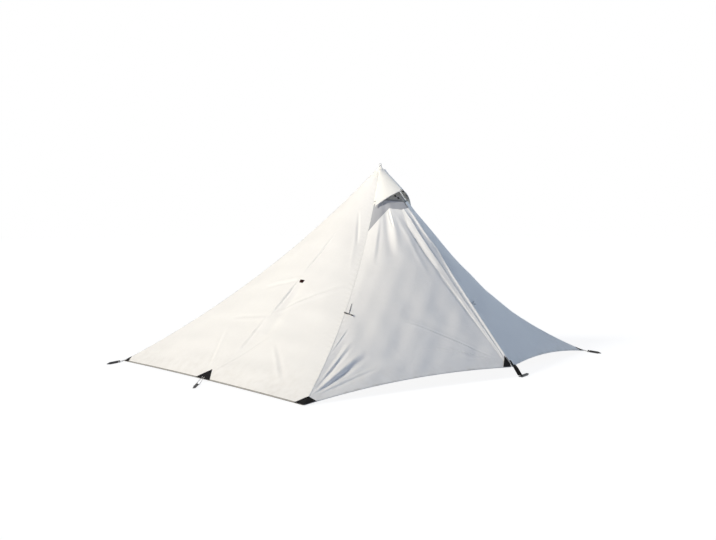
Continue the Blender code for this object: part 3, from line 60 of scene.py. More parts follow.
Labels = tuple[str, ...]
Array = np.ndarray
Piece = bpy.types.Object
Material = bpy.types.Material
Socket = bpy.types.NodeSocket
FLY = ("fly_cloth", "root")
WHITE = (1.0, 1.0, 1.0)


class Side(Enum):
    """The two sides of the zip."""

    DOOR = -1
    FRAME = 1


def vec(*parts: float) -> Array:
    """A point or a direction from its parts."""
    return np.array(parts)


def unit(vector: Array) -> Array:
    """Give a vector, or each row of vectors, a length of one."""
    return vector / np.linalg.norm(vector, axis=-1, keepdims=True)


def link(made: Piece) -> None:
    """Put an object in the scene."""
    bpy.context.scene.collection.objects.link(made)


@dataclass(frozen=True)
class Fold:
    """A crease over a panel: a valley, or a ridge where the depth is negative."""

    start: tuple[float, float]
    end: tuple[float, float]
    depth: float
    width: float
    end_width: float = 0.0
    step: bool = False

    def depth_at(self, panel: "Panel", u: Array, v: Array) -> Array:
        """Depth of the crease at places of its panel.

        Args:
            panel: The panel that it lies on.
            u: Shares across the panel.
            v: Shares up the panel.

        Returns:
            The depth below the plain cloth, in metres.
        """
        place = panel.flat(u, v)
        start = panel.flat(*np.array(self.start))
        run = panel.flat(*np.array(self.end)) - start
        share = (place - start) @ run / (run @ run)
        rest = place - start - share[..., None] * run
        side = unit(np.cross(panel.facing(), run))
        away = rest @ side
        width = self.width + ((self.end_width or self.width) - self.width) * np.clip(share, 0.0, 1.0)
        along = np.sin(np.pi * np.clip(share, 0.0, 1.0)) ** 0.8
        shape = np.exp(-(away / width) ** 2)
        if self.step:
            shape = shape * away / width * 2.3
        seams = np.minimum(1.0, 14 * u * (1 - u))
        return self.depth * along * shape * seams


@dataclass
class Panel:
    """A three-sided panel between two ridges, read by u across and v up to the top."""

    left: Array
    right: Array
    top: Array
    left_sag: float = 0.0
    right_sag: float = 0.0
    hem_bow: float = 0.0
    folds: list[Fold] = field(default_factory=list)
    seed: int = 0
    ripple: float = 0.001
    pucker: float = 0.0008

    def flat(self, u: Array, v: Array) -> Array:
        """Points on the flat triangle."""
        across = (self.right - self.left) * (u * (1 - v))[..., None]
        return self.left + (self.top - self.left) * v[..., None] + across

    def inward(self, corner: Array) -> Array:
        """Direction in which a ridge seam sags: square to it, in its upright plane.

        Args:
            corner: Foot of the seam.

        Returns:
            The direction.
        """
        chord = self.top - corner
        level = vec(chord[0], chord[1], 0.0)
        return unit(unit(level) * chord[2] - UP * np.linalg.norm(level))

    def facing(self) -> Array:
        """Outward direction of the flat triangle."""
        return unit(np.cross(self.right - self.left, self.top - self.left))

    def width(self) -> float:
        """Length of the hem."""
        return float(np.linalg.norm(self.right - self.left))

    def flat_size(self) -> tuple[float, float]:
        """Width and height of the flat cut."""
        return self.width(), self.cut_height()

    def area(self) -> float:
        """Area of the flat cut."""
        return 0.5 * self.width() * self.cut_height()

    def cut_height(self) -> float:
        """Height of the flat triangle over its hem."""
        hem = unit(self.right - self.left)
        rise = self.top - self.left
        return float(np.linalg.norm(rise - hem * (rise @ hem)))

    def wander(self, u: Array, v: Array) -> Array:
        """Slight unevenness of stretched cloth and the puckers along its seams.

        Args:
            u: Shares of the width.
            v: Shares of the height.

        Returns:
            Heights over the smooth cloth.
        """
        draw = np.random.default_rng(self.seed)
        x = u * (1 - v) * self.width()
        y = v * self.cut_height()
        total = np.zeros(np.shape(u))
        for _ in range(7):
            length = draw.uniform(0.1, 0.34)
            turn = draw.uniform(0.0, pi)
            wave = (x * cos(turn) + y * sin(turn)) * (2 * pi / length)
            total += np.sin(wave + draw.uniform(0.0, 2 * pi)) * (self.ripple * length / 0.3)
        total *= np.minimum(1.0, 8 * u * (1 - u)) * np.minimum(1.0, v * 18)
        for away in (x, (1 - u) * (1 - v) * self.width()):
            near = np.minimum(1.0, away / 0.01) * np.exp(-(away / 0.03) ** 2)
            total += np.sin(y * (2 * pi / 0.034) + 2.6 * np.sin(y * 9.0)) * near * self.pucker
        return total

    def at(self, u: Array, v: Array) -> Array:
        """Points on the outer face of the cloth.

        Args:
            u: Shares of the width.
            v: Shares of the height.

        Returns:
            The points.
        """
        u, v = np.broadcast_arrays(np.asarray(u, float), np.asarray(v, float))
        point = self.flat(u, v)
        rise = 4 * v * (1 - v)
        point = point + self.inward(self.left) * (self.left_sag * rise * (1 - u) ** 2)[..., None]
        point = point + self.inward(self.right) * (self.right_sag * rise * u * u)[..., None]
        level_in = unit(np.cross(UP, self.right - self.left))
        lift = self.hem_bow * 4 * u * (1 - u) * (1 - v) ** 4
        point = point + (level_in + UP) * lift[..., None]
        depth = self.wander(u, v)
        for fold in self.folds:
            depth = depth + fold.depth_at(self, u, v)
        return point - self.facing() * depth[..., None]

    def normal(self, u: Array, v: Array) -> Array:
        """Outward directions of the cloth.

        Args:
            u: Shares of the width.
            v: Shares of the height.

        Returns:
            The directions.
        """
        u, v = np.broadcast_arrays(np.asarray(u, float), np.asarray(v, float))
        step = 0.004
        across = self.at(np.minimum(1.0, u + step), v) - self.at(np.maximum(0.0, u - step), v)
        upward = self.at(u, v + step) - self.at(u, np.maximum(0.0, v - step))
        return unit(np.cross(across, upward))

    def offset(self, u: Array, v: Array, distance: float) -> Array:
        """Points at a distance outside the cloth's outer face."""
        return self.at(u, v) + self.normal(u, v) * distance

    def seam_share(self, distance: Array, v: Array) -> Array:
        """Share of the panel's width that a distance makes at a height."""
        return distance / (self.width() * (1 - v))

    def rise_share(self, distance: float) -> float:
        """Share of the panel's height that a distance makes up its left ridge."""
        return distance / float(np.linalg.norm(self.top - self.left))

    def cut_uv(self, u: Array, v: Array) -> Array:
        """Places on the flat cut in metres, for the weave."""
        return np.stack([u * (1 - v) * self.width(), v * self.cut_height()], axis=-1)


def tinted(colour: Triple, gain: float, lift: float = 0.0) -> Triple:
    """A lighter or darker tone of a colour."""
    return tuple(min(1.0, value * gain + lift) for value in colour)


class Graph:
    """Wires the nodes of a tree."""

    def __init__(self, tree: bpy.types.NodeTree) -> None:
        """Take the tree to wire."""
        self.tree = tree

    def put(self, target: Socket, value: object) -> None:
        """Link a socket to another, or give it a plain value or an opaque colour.

        Args:
            target: Socket to fill.
            value: Socket, number or colour.
        """
        if isinstance(value, Socket):
            self.tree.links.new(value, target)
        else:
            target.default_value = (*value, 1.0) if isinstance(value, tuple) else value

    def node(self, kind: str, inputs: dict[object, object], **settings: object) -> bpy.types.Node:
        """Add a node.

        Args:
            kind: Its type.
            inputs: What its sockets get, by name or number.
            settings: Its own properties.

        Returns:
            The node.
        """
        made = self.tree.nodes.new(kind)
        for key, value in settings.items():
            setattr(made, key, value)
        for key, value in inputs.items():
            self.put(made.inputs[key], value)
        return made

    def maths(self, operation: str, first: object, second: object = 0.0) -> Socket:
        """Add a Math node and return its result."""
        return self.node("ShaderNodeMath", {0: first, 1: second}, operation=operation).outputs[0]

    def seen_rays(self) -> Socket:
        """1 for rays from the camera and in gloss and glass, else 0."""
        path = self.node("ShaderNodeLightPath", {}).outputs
        seen = self.maths("MAXIMUM", path["Is Camera Ray"], path["Is Glossy Ray"])
        return self.maths("MAXIMUM", seen, path["Is Transmission Ray"])

    def blend(self, share: Socket, first: bpy.types.Node, second: bpy.types.Node, target: str) -> None:
        """Mix two shaders by a share into the tree's output."""
        mixed = self.node("ShaderNodeMixShader", {0: share, 1: first.outputs[0], 2: second.outputs[0]})
        self.put(self.tree.nodes[target].inputs[0], mixed.outputs[0])

    def times(self, first: object, second: object) -> Socket:
        """Product of two values."""
        return self.maths("MULTIPLY", first, second)

    def plus(self, first: object, second: object) -> Socket:
        """Sum of two values."""
        return self.maths("ADD", first, second)

    def minus(self, first: object, second: object) -> Socket:
        """Difference of two values."""
        return self.maths("SUBTRACT", first, second)

    def mix(self, share: object, first: object, second: object) -> Socket:
        """Mix two colours and return the result."""
        return self.node("ShaderNodeMix", {"Factor": share, 6: first, 7: second}, data_type="RGBA").outputs[2]

    def place(self) -> Socket:
        """Object coordinates."""
        return self.node("ShaderNodeTexCoord", {}).outputs["Object"]

    def noise(self, scale: float, detail: float) -> Socket:
        """Add a noise over Object coordinates."""
        inputs = {"Scale": scale, "Detail": detail, "Vector": self.place()}
        return self.node("ShaderNodeTexNoise", inputs).outputs["Fac"]

    def ramp(self, value: object, low: float, high: float) -> Socket:
        """Stretch a value so that low to high runs from 0 to 1."""
        return self.node("ShaderNodeMapRange", {"Value": value, "From Min": low, "From Max": high}).outputs[0]

    def axes(self, vector: Socket) -> bpy.types.NodeOutputs:
        """The three parts of a vector."""
        return self.node("ShaderNodeSeparateXYZ", {0: vector}).outputs

    def cut_axes(self) -> tuple[Socket, Socket]:
        """The two axes of the piece's own map, in metres."""
        return tuple(self.axes(self.node("ShaderNodeUVMap", {}, uv_map="cut").outputs[0])[:2])

    def wave(self, value: object, pitch: float) -> Socket:
        """A sine of a length along the surface, from -1 to 1."""
        return self.maths("SINE", self.times(value, 2 * pi / pitch))

    def line(self, value: object, pitch: float, share: float) -> Socket:
        """1 on thin lines that repeat at a pitch, and 0 between them."""
        turn = self.maths("FRACT", self.maths("DIVIDE", value, pitch))
        return self.maths("LESS_THAN", turn, share)

    def band(self, value: object, centre: float, half: float) -> Socket:
        """1 within a distance of a value, and 0 outside it."""
        return self.maths("LESS_THAN", self.maths("ABSOLUTE", self.minus(value, centre)), half)


class Surface(Graph):
    """The graph of one material, with its shader."""

    def __init__(self, name: str, colour: Triple, roughness: float, metallic: float = 0.0) -> None:
        """Start a material from its plain values.

        Args:
            name: Name of the material.
            colour: Base colour.
            roughness: Plain roughness.
            metallic: Metallic share.
        """
        self.material = bpy.data.materials.new(name)
        self.material.use_nodes = True
        super().__init__(self.material.node_tree)
        self.shader = self.tree.nodes["Principled BSDF"]
        self.shade("Base Color", colour)
        self.shade("Roughness", roughness)
        self.shade("Metallic", metallic)

    def shade(self, socket: str, value: object) -> None:
        """Give one of the shader's own sockets its value."""
        self.put(self.shader.inputs[socket], value)

    def bump(self, height: object, distance: float, strength: float) -> None:
        """Raise the surface by a height, over any bump that it has already.

        Args:
            height: Socket that gives the height.
            distance: Height of a full step in metres.
            strength: Share of it that shows.
        """
        made = self.node("ShaderNodeBump", {"Strength": strength, "Distance": distance, "Height": height})
        old = self.shader.inputs["Normal"].links
        if old:
            self.put(made.inputs["Normal"], old[0].from_socket)
        self.shade("Normal", made.outputs[0])


@dataclass(frozen=True)
class ClothFinish:
    """Coated woven cloth with a faint check, pressed creases and a little dust at its foot."""

    name: str
    colour: Triple
    roughness: float = 0.62
    thread: float = 0.0011
    check: float = 0.0075
    dust: float = 0.05
    stitch_at: tuple[float, ...] = ()
    sheen: float = 0.04
    dust_height: float = 0.16
    dust_colour: Triple = (0.46, 0.43, 0.38)
    stitch_pitch: float = 0.0032

    def build(self) -> Material:
        """Make the material."""
        graph = Surface(self.name, self.colour, self.roughness)
        graph.shade("Sheen Weight", self.sheen)
        graph.shade("Sheen Roughness", 0.45)
        graph.shade("Specular IOR Level", 0.25)
        x, y = graph.cut_axes()
        weave = graph.times(graph.wave(x, self.thread), graph.wave(y, self.thread))
        grid = graph.maths("MAXIMUM", graph.line(x, self.check, 0.09), graph.line(y, self.check, 0.09))
        mottle = graph.times(graph.ramp(graph.noise(2.3, 4.0), 0.3, 0.7), 0.55)
        colour = graph.mix(mottle, self.colour, tinted(self.colour, 0.955))
        colour = graph.mix(graph.times(grid, 0.45), colour, tinted(self.colour, 1.03))
        if self.dust > 0.0:
            foot = graph.ramp(graph.axes(graph.place())[2], self.dust_height, 0.0)
            specks = graph.times(foot, graph.ramp(graph.noise(21.0, 6.0), 0.42, 0.72))
            colour = graph.mix(graph.times(specks, self.dust * 4), colour, self.dust_colour)
        height = graph.plus(graph.times(weave, 0.12), grid)
        for place in self.stitch_at:
            thread = graph.times(graph.band(x, place, 0.0005), graph.line(y, self.stitch_pitch, 0.68))
            colour = graph.mix(graph.times(thread, 0.5), colour, tinted(self.colour, 0.66))
            height = graph.minus(height, graph.times(graph.band(x, place, 0.0013), 2.0))
            height = graph.plus(height, graph.times(thread, 3.0))
        graph.shade("Base Color", colour)
        sheen = graph.times(graph.ramp(graph.noise(7.0, 5.0), 0.25, 0.75), 0.12)
        graph.shade("Roughness", graph.plus(sheen, self.roughness - 0.06))
        graph.bump(graph.noise(11.0, 3.0), 0.0045, 0.35)
        graph.bump(graph.noise(38.0, 4.0), 0.0012, 0.3)
        graph.bump(height, 0.0001, 0.6)
        return graph.material


@dataclass(frozen=True)
class WebbingFinish:
    """Heavy woven webbing or patch cloth with ribs and worn threads."""

    name: str
    colour: Triple
    rib: float = 0.0016
    roughness: float = 0.85
    fade: float = 1.5

    def build(self) -> Material:
        """Make the material."""
        graph = Surface(self.name, self.colour, self.roughness)
        graph.shade("Specular IOR Level", 0.12)
        x, y = graph.cut_axes()
        across = graph.wave(x, self.rib * 0.55)
        ribs = graph.times(graph.wave(y, self.rib), graph.plus(across, 1.6))
        worn = graph.times(graph.ramp(graph.noise(26.0, 5.0), 0.4, 0.75), 0.6)
        graph.shade("Base Color", graph.mix(worn, self.colour, tinted(self.colour, self.fade, 0.004)))
        graph.bump(ribs, 0.00022, 0.8)
        graph.bump(graph.noise(60.0, 3.0), 0.0006, 0.3)
        return graph.material


@dataclass(frozen=True)
class CordFinish:
    """Braided cord: two families of strands that cross round it."""

    name: str
    colour: Triple
    tracer: Triple
    strand: float = 0.0016
    dirt: Triple = (0.25, 0.24, 0.22)

    def build(self) -> Material:
        """Make the material."""
        graph = Surface(self.name, self.colour, 0.72)
        x, y = graph.cut_axes()
        first = graph.wave(graph.plus(x, y), self.strand)
        second = graph.wave(graph.minus(x, y), self.strand)
        tracer = graph.times(graph.line(graph.plus(x, y), self.strand * 4, 0.25), graph.ramp(first, 0.0, 0.6))
        colour = graph.mix(tracer, self.colour, self.tracer)
        dirt = graph.times(graph.ramp(graph.noise(45.0, 4.0), 0.45, 0.8), 0.25)
        graph.shade("Base Color", graph.mix(dirt, colour, self.dirt))
        graph.bump(graph.maths("MAXIMUM", first, second), 0.00025, 0.8)
        return graph.material


@dataclass(frozen=True)
class NetFinish:
    """Fine insect net: six-sided holes between thin threads."""

    name: str
    colour: Triple
    hole: float = 0.0022
    cover: float = 0.42

    def build(self) -> Material:
        """Make the material."""
        graph = Surface(self.name, self.colour, 0.85)
        x, y = graph.cut_axes()
        half, rise = graph.times(x, 0.5), graph.times(y, 0.866)
        second = graph.wave(graph.plus(half, rise), self.hole)
        third = graph.wave(graph.minus(half, rise), self.hole)
        total = graph.plus(graph.wave(x, self.hole), graph.plus(second, third))
        threads = graph.ramp(total, 1.1 - self.cover, -0.2 - self.cover)
        worn = graph.ramp(graph.noise(14.0, 3.0), 0.3, 0.7)
        graph.shade("Base Color", graph.mix(worn, self.colour, tinted(self.colour, 1.35, 0.01)))
        graph.shade("Alpha", graph.maths("MAXIMUM", threads, 0.12))
        graph.bump(threads, 0.0002, 0.5)
        return graph.material


@dataclass(frozen=True)
class MetalFinish:
    """Anodised or coated metal with fine drawn lines and rubbed edges."""

    name: str
    colour: Triple
    roughness: float = 0.36
    metallic: float = 0.9
    rubbed: Triple = (0.42, 0.42, 0.43)

    def build(self) -> Material:
        """Make the material."""
        graph = Surface(self.name, self.colour, self.roughness, self.metallic)
        marks = graph.ramp(graph.noise(160.0, 6.0), 0.6, 0.82)
        wear = graph.times(marks, graph.ramp(graph.noise(17.0, 4.0), 0.45, 0.7))
        edges = graph.ramp(graph.node("ShaderNodeNewGeometry", {}).outputs["Pointiness"], 0.515, 0.6)
        share = graph.maths("MINIMUM", graph.plus(wear, graph.times(edges, 0.55)), 1.0)
        graph.shade("Base Color", graph.mix(share, self.colour, self.rubbed))
        rough = graph.times(graph.noise(70.0, 5.0), 0.24)
        graph.shade("Roughness", graph.plus(rough, self.roughness - 0.1))
        graph.bump(graph.noise(420.0, 3.0), 0.0001, 0.25)
        return graph.material


@dataclass(frozen=True)
class MouldedFinish:
    """Moulded plastic or foam with a fine grain."""

    name: str
    colour: Triple
    roughness: float
    grain: float
    depth: float

    def build(self) -> Material:
        """Make the material."""
        graph = Surface(self.name, self.colour, self.roughness)
        worn = graph.times(graph.ramp(graph.noise(24.0, 5.0), 0.42, 0.74), 0.5)
        graph.shade("Base Color", graph.mix(worn, self.colour, tinted(self.colour, 1.8, 0.01)))
        rough = graph.times(graph.noise(90.0, 3.0), 0.2)
        graph.shade("Roughness", graph.plus(rough, self.roughness - 0.1))
        graph.bump(graph.noise(self.grain, 4.0), self.depth, 0.6)
        return graph.material


@dataclass
class Finishes:
    """Every finish of the tent, made once."""

    made: dict[str, Material] = field(default_factory=dict)

    def __post_init__(self) -> None:
        """Make the materials."""
        white = (0.87, 0.868, 0.858)
        kinds = [
            ClothFinish("fly_cloth_white", white),
            ClothFinish("seam_cloth_white", (0.83, 0.83, 0.82), stitch_at=(-0.0048, 0.0048), dust=0.06),
            ClothFinish("hem_cloth_white", (0.82, 0.82, 0.81), stitch_at=(0.009,), dust=0.16),
            # the hem binding is real; its dark grey tone is painted shade at the hem's foot
            ClothFinish("hem_tape_painted_shade_grey", (0.3, 0.295, 0.28), stitch_at=(0.007,), check=0.003),
            ClothFinish("hood_cloth_white", (0.9, 0.895, 0.86), stitch_at=(0.008,), dust=0.0),
            # painted shade: a darker grey cloth that stands for the hood's shade on the near panel below the vent
            ClothFinish("painted_shade_cloth_grey", (0.4, 0.41, 0.44), dust=0.0),
            ClothFinish("tub_cloth_grey", (0.2, 0.215, 0.22), roughness=0.42, dust=0.12, sheen=0.05),
            WebbingFinish("patch_black", (0.007, 0.007, 0.008), rib=0.0012),
            WebbingFinish("webbing_black", (0.006, 0.006, 0.007), rib=0.0018),
            WebbingFinish("webbing_white", (0.8, 0.8, 0.79), rib=0.0018, fade=0.92),
            WebbingFinish("tab_dark", (0.04, 0.014, 0.012), rib=0.0018),
            WebbingFinish("tape_grey", (0.24, 0.245, 0.25), rib=0.001, fade=1.25),
            WebbingFinish("prop_grey", (0.17, 0.17, 0.165), rib=0.001, roughness=0.8, fade=1.2),
            WebbingFinish("hook_pad_black", (0.005, 0.005, 0.005), rib=0.0009, roughness=0.95),
            CordFinish("cord_pale", (0.66, 0.65, 0.62), (0.3, 0.31, 0.32)),
            CordFinish("cord_dark", (0.1, 0.1, 0.105), (0.34, 0.34, 0.33)),
            CordFinish("cord_elastic", (0.05, 0.05, 0.052), (0.45, 0.45, 0.44), strand=0.0012),
            NetFinish("net_olive", (0.88, 0.88, 0.8), cover=2.6),
            NetFinish("net_inner", (0.13, 0.135, 0.135), cover=0.3),
            MetalFinish("peg_anodised", (0.012, 0.012, 0.013), 0.45, 0.35, (0.1, 0.1, 0.105)),
            MetalFinish("pole_anodised", (0.075, 0.078, 0.085), 0.32, 0.95),
            MetalFinish("zip_painted", (0.03, 0.03, 0.032), 0.42, 0.5),
            MouldedFinish("lock_moulded", (0.022, 0.022, 0.023), 0.48, 700.0, 0.00012),
            MouldedFinish("teeth_moulded", (0.16, 0.165, 0.17), 0.4, 900.0, 0.00005),
            MouldedFinish("toggle_moulded", (0.085, 0.088, 0.092), 0.38, 800.0, 0.00006),
            MouldedFinish("grip_foam_black", (0.026, 0.026, 0.026), 0.92, 520.0, 0.0006),
        ]
        self.made = {kind.name: kind.build() for kind in kinds}

    def dress_node(self, node: str, name: str) -> None:
        """Give a carried-over solid its finish in place of the plain one.

        Args:
            node: Name of the solid.
            name: Name of the finish.
        """
        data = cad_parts[node].data
        data.materials.clear()
        data.materials.append(self.made[name])


def link_mesh(name: str, mesh: bpy.types.Mesh, material: Material) -> Piece:
    """Put a mesh in the scene with its finish.

    Args:
        name: Name of the piece.
        mesh: Its mesh.
        material: Its finish.

    Returns:
        The piece.
    """
    piece = bpy.data.objects.new(name, mesh)
    mesh.materials.append(material)
    link(piece)
    return piece


def select_none() -> None:
    """Deselect every object."""
    bpy.ops.object.select_all(action="DESELECT")


def mode(name: str) -> None:
    """Turn to EDIT or OBJECT mode."""
    bpy.ops.object.mode_set(mode=name)


def only(piece: Piece) -> None:
    """Select one piece alone and make it active.

    Args:
        piece: The piece.
    """
    select_none()
    piece.select_set(True)
    bpy.context.view_layer.objects.active = piece


def thicken(piece: Piece, thickness: float) -> None:
    """Lay the thickness of the active piece inwards from its outer face.

    Args:
        piece: The active piece.
        thickness: Thickness in metres.
    """
    solid = piece.modifiers.new("thickness", "SOLIDIFY")
    solid.thickness = thickness
    solid.offset = -1.0
    bpy.ops.object.modifier_apply(modifier=solid.name)


def map_faces(mesh: bpy.types.Mesh, corners: Array, places: Array) -> None:
    """Write the map in metres that the weave and the stitching follow."""
    layer = mesh.uv_layers.new(name="cut")
    layer.data.foreach_set("uv", places.reshape(-1, 2)[corners.ravel()].ravel())


def make_sheet(name: str, grid: Array, places: Array, thickness: float,
               material: Material, sharp: float = 38.0) -> Piece:
    """Make a sheet of cloth from a grid of points on its outer face.

    Args:
        name: Name of the piece.
        grid: Points, rows by columns by 3, rows upwards and columns to the right from outside.
        places: Flat places of the same points, in metres.
        thickness: Thickness of the cloth, laid inwards.
        material: Finish.
        sharp: Angle in degrees past which an edge stays sharp.

    Returns:
        The piece, with its thickness applied.
    """
    rows, columns = grid.shape[:2]
    index = np.arange(rows * columns).reshape(rows, columns)
    corners = np.stack([index[:-1, :-1], index[:-1, 1:], index[1:, 1:], index[1:, :-1]], axis=-1)
    corners = corners.reshape(-1, 4)
    mesh = bpy.data.meshes.new(name)
    mesh.from_pydata(grid.reshape(-1, 3).tolist(), [], corners.tolist())
    map_faces(mesh, corners, places)
    piece = link_mesh(name, mesh, material)
    if thickness > 0.0:
        only(piece)
        thicken(piece, thickness)
    piece.data.shade_smooth()
    piece.data.set_sharp_from_angle(angle=radians(sharp))
    return piece


def flat_places(across: Array, along: Array) -> Array:
    """Places in metres of a grid whose columns run across and whose rows run along."""
    return np.stack(np.broadcast_arrays(across[None, :], along[:, None]), axis=-1)


def travelled(route: Array) -> Array:
    """Length from a route's start to each of its points."""
    return np.concatenate([[0.0], np.cumsum(np.linalg.norm(np.diff(route, axis=0), axis=1))])


def smooth_route(points: list[Array], steps: int) -> Array:
    """Read a smooth curve through points.

    Args:
        points: Points that it passes.
        steps: Steps from each point to the next.

    Returns:
        The points of the curve.
    """
    pts = [np.asarray(p, float) for p in points]
    ends = [pts[0] * 2 - pts[1]] + pts + [pts[-1] * 2 - pts[-2]]
    route = []
    for i in range(1, len(ends) - 2):
        a, b, c, d = ends[i - 1:i + 3]
        for k in range(steps):
            t = k / steps
            route.append(0.5 * (2 * b + (c - a) * t + (2 * a - 5 * b + 4 * c - d) * t * t
                                + (3 * b - a - 3 * c + d) * t ** 3))
    route.append(pts[-1])
    return np.array(route)


def make_tube(name: str, route: Array, radius: float, material: Material,
              sides: int = 12, taper: Array | None = None) -> Piece:
    """Make a closed round tube along a route, mapped in metres round and along it.

    Args:
        name: Name of the piece.
        route: Points of its middle.
        radius: Its radius.
        material: Finish.
        sides: Sides round it.
        taper: Share of the radius at each point, or None.

    Returns:
        The piece.
    """
    ahead = unit(np.gradient(route, axis=0))
    side = unit(np.cross(ahead[0], UP if abs(ahead[0][2]) < 0.9 else vec(1.0, 0.0, 0.0)))
    along = travelled(route)
    turns = 2 * pi * np.arange(sides + 1) / sides
    grid = []
    for i, place in enumerate(route):
        side = unit(side - ahead[i] * (side @ ahead[i]))
        other = np.cross(ahead[i], side)
        wide = radius * (1.0 if taper is None else taper[i])
        grid.append([place + (side * cos(t) + other * sin(t)) * wide for t in turns[:-1]])
    rows = len(route)
    index = np.arange(rows * sides).reshape(rows, sides)
    nexts = np.roll(index, -1, axis=1)
    corners = np.stack([index[:-1], nexts[:-1], nexts[1:], index[1:]], axis=-1).reshape(-1, 4)
    mesh = bpy.data.meshes.new(name)
    ends = [list(reversed(index[0].tolist())), index[-1].tolist()]
    mesh.from_pydata(np.array(grid).reshape(-1, 3).tolist(), [], corners.tolist() + ends)
    layer = mesh.uv_layers.new(name="cut")
    around = turns * radius
    uv = [(around[k + right], along[r + up]) for r in range(rows - 1) for k in range(sides)
          for right, up in ((0, 0), (1, 0), (1, 1), (0, 1))] + [(0.0, 0.0)] * (2 * sides)
    layer.data.foreach_set("uv", np.array(uv).ravel())
    piece = link_mesh(name, mesh, material)
    mesh.shade_smooth()
    mesh.set_sharp_from_angle(angle=radians(50.0))
    return piece


def make_ribbon(name: str, route: Array, sides: Array, width: float, thickness: float, material: Material) -> Piece:
    """Make a flat band along a route.

    Args:
        name: Name of the piece.
        route: Points along the middle of its outer face.
        sides: Sideways direction, or one for each point; the outer face looks along sides x route.
        width: Width of the band.
        thickness: Its thickness.
        material: Finish.

    Returns:
        The piece.
    """
    steps = np.linspace(-0.5, 0.5, 7)
    sides = np.broadcast_to(sides, route.shape)
    ahead = unit(np.gradient(route, axis=0))
    out = unit(np.cross(sides, ahead))
    crown = (1 - (2 * steps) ** 2) * thickness * 0.3
    grid = (route[:, None] + sides[:, None] * (steps * width)[None, :, None] + out[:, None] * crown[None, :, None])
    return make_sheet(name, grid, flat_places(steps * width, travelled(route)), thickness, material)


def creases(steps: Rows, waves: Rows = ()) -> list[Fold]:
    """Sharp and soft creases from rows of start u and v, end u and v, depth, width and end width."""
    return [Fold((a, b), (c, d), *sizes, step=rows is steps) for rows in (steps, waves)
            for a, b, c, d, *sizes in rows]


NEAR_FOLDS = creases((
    (0.004, 0.05, 0.14, 0.232, -0.0058, 0.008, 0.021),
    (-0.01, 0.19, 0.08, 0.306, -0.0036, 0.007, 0.009),
    (0.01, 0.034, 0.25, 0.165, -0.009, 0.011, 0.036),
    (0.008, 0.026, 0.33, 0.085, -0.0024, 0.007, 0.013),
    (0.49, 0.262, 0.945, 0.034, 0.004, 0.008, 0.007),
    (0.64, 0.122, 0.935, 0.036, 0.0044, 0.008, 0.0065),
    (0.56, 0.128, 0.76, 0.08, 0.0016, 0.008, 0.007),
    (0.7, 0.074, 0.9, 0.036, 0.0014, 0.008, 0.007),
    (0.548, 0.69, 0.532, 0.786, 0.0034, 0.007, 0.006),
    (0.5, 0.56, 0.52, 0.82, 0.007, 0.04, 0.03),
    (0.3, 0.76, 0.23, 0.56, 0.0022, 0.016, 0.024),
), (
    (0.01, 0.04, 0.11, 0.3, 0.006, 0.03, 0.05),
    (0.06, 0.02, 0.42, 0.14, 0.006, 0.03, 0.06),
    (0.47, 0.3, 0.93, 0.06, 0.005, 0.04, 0.03),
    (0.765, 0.74, 0.905, 0.417, 0.0085, 0.018, 0.016),
    (0.88, 0.46, 0.968, 0.12, 0.005, 0.014, 0.009),
    (0.64, 0.77, 0.78, 0.42, -0.0035, 0.016, 0.022),
))
LEFT_END_FOLDS = creases((
    (0.531, 0.478, 0.541, 0.3, 0.005, 0.008, 0.009),
    (0.522, 0.3, 0.541, 0.13, 0.0042, 0.01, 0.013),
    (0.56, 0.48, 0.28, 0.43, 0.003, 0.014, 0.02),
    (0.535, 0.316, 0.96, 0.505, 0.0036, 0.016, 0.024),
    (0.55, 0.69, 0.529, 0.5, 0.003, 0.009, 0.011),
    (0.3, 0.27, 0.56, 0.3, 0.002, 0.018, 0.022),
    (0.7, 0.2, 0.86, 0.06, 0.0022, 0.016, 0.022),
    (0.48, 0.04, 0.33, 0.23, 0.0024, 0.012, 0.022),
    (0.52, 0.04, 0.64, 0.22, 0.0024, 0.012, 0.022),
), (
    (0.585, 0.47, 0.6, 0.23, 0.012, 0.045),
    (0.63, 0.3, 0.545, 0.06, 0.009, 0.045),
    (0.72, 0.8, 0.905, 0.67, 0.0065, 0.01, 0.012),
    (0.7, 0.82, 0.93, 0.56, -0.0026, 0.012, 0.016),
))
RIGHT_END_FOLDS = creases((
    (0.405, 0.455, 0.4, 0.285, 0.005, 0.008, 0.01),
    (0.38, 0.235, 0.45, 0.105, 0.004, 0.01, 0.013),
    (0.44, 0.48, 0.72, 0.43, 0.003, 0.014, 0.02),
    (0.393, 0.3, 0.015, 0.44, 0.004, 0.016, 0.024),
    (0.52, 0.04, 0.67, 0.23, 0.0024, 0.012, 0.022),
    (0.48, 0.04, 0.36, 0.22, 0.0024, 0.012, 0.022),
), (
    (0.415, 0.47, 0.4, 0.23, 0.012, 0.045),
    (0.37, 0.3, 0.455, 0.06, 0.009, 0.045),
))
FIXED_FOLDS = creases((
    (0.96, 0.03, 0.66, 0.11, 0.0022, 0.012, 0.024),
    (0.965, 0.05, 0.7, 0.25, 0.002, 0.012, 0.026),
), (
    (0.04, 0.04, 0.06, 0.64, 0.003, 0.012, 0.01),
))
REAR_FOLDS = creases((
    (0.5, 0.44, 0.5, 0.08, 0.003, 0.014, 0.016),
    (0.03, 0.03, 0.33, 0.14, 0.0028, 0.012, 0.024),
    (0.97, 0.03, 0.67, 0.14, 0.0028, 0.012, 0.024),
    (0.46, 0.47, 0.2, 0.42, 0.0024, 0.014, 0.02),
    (0.54, 0.47, 0.8, 0.42, 0.0024, 0.014, 0.02),
))


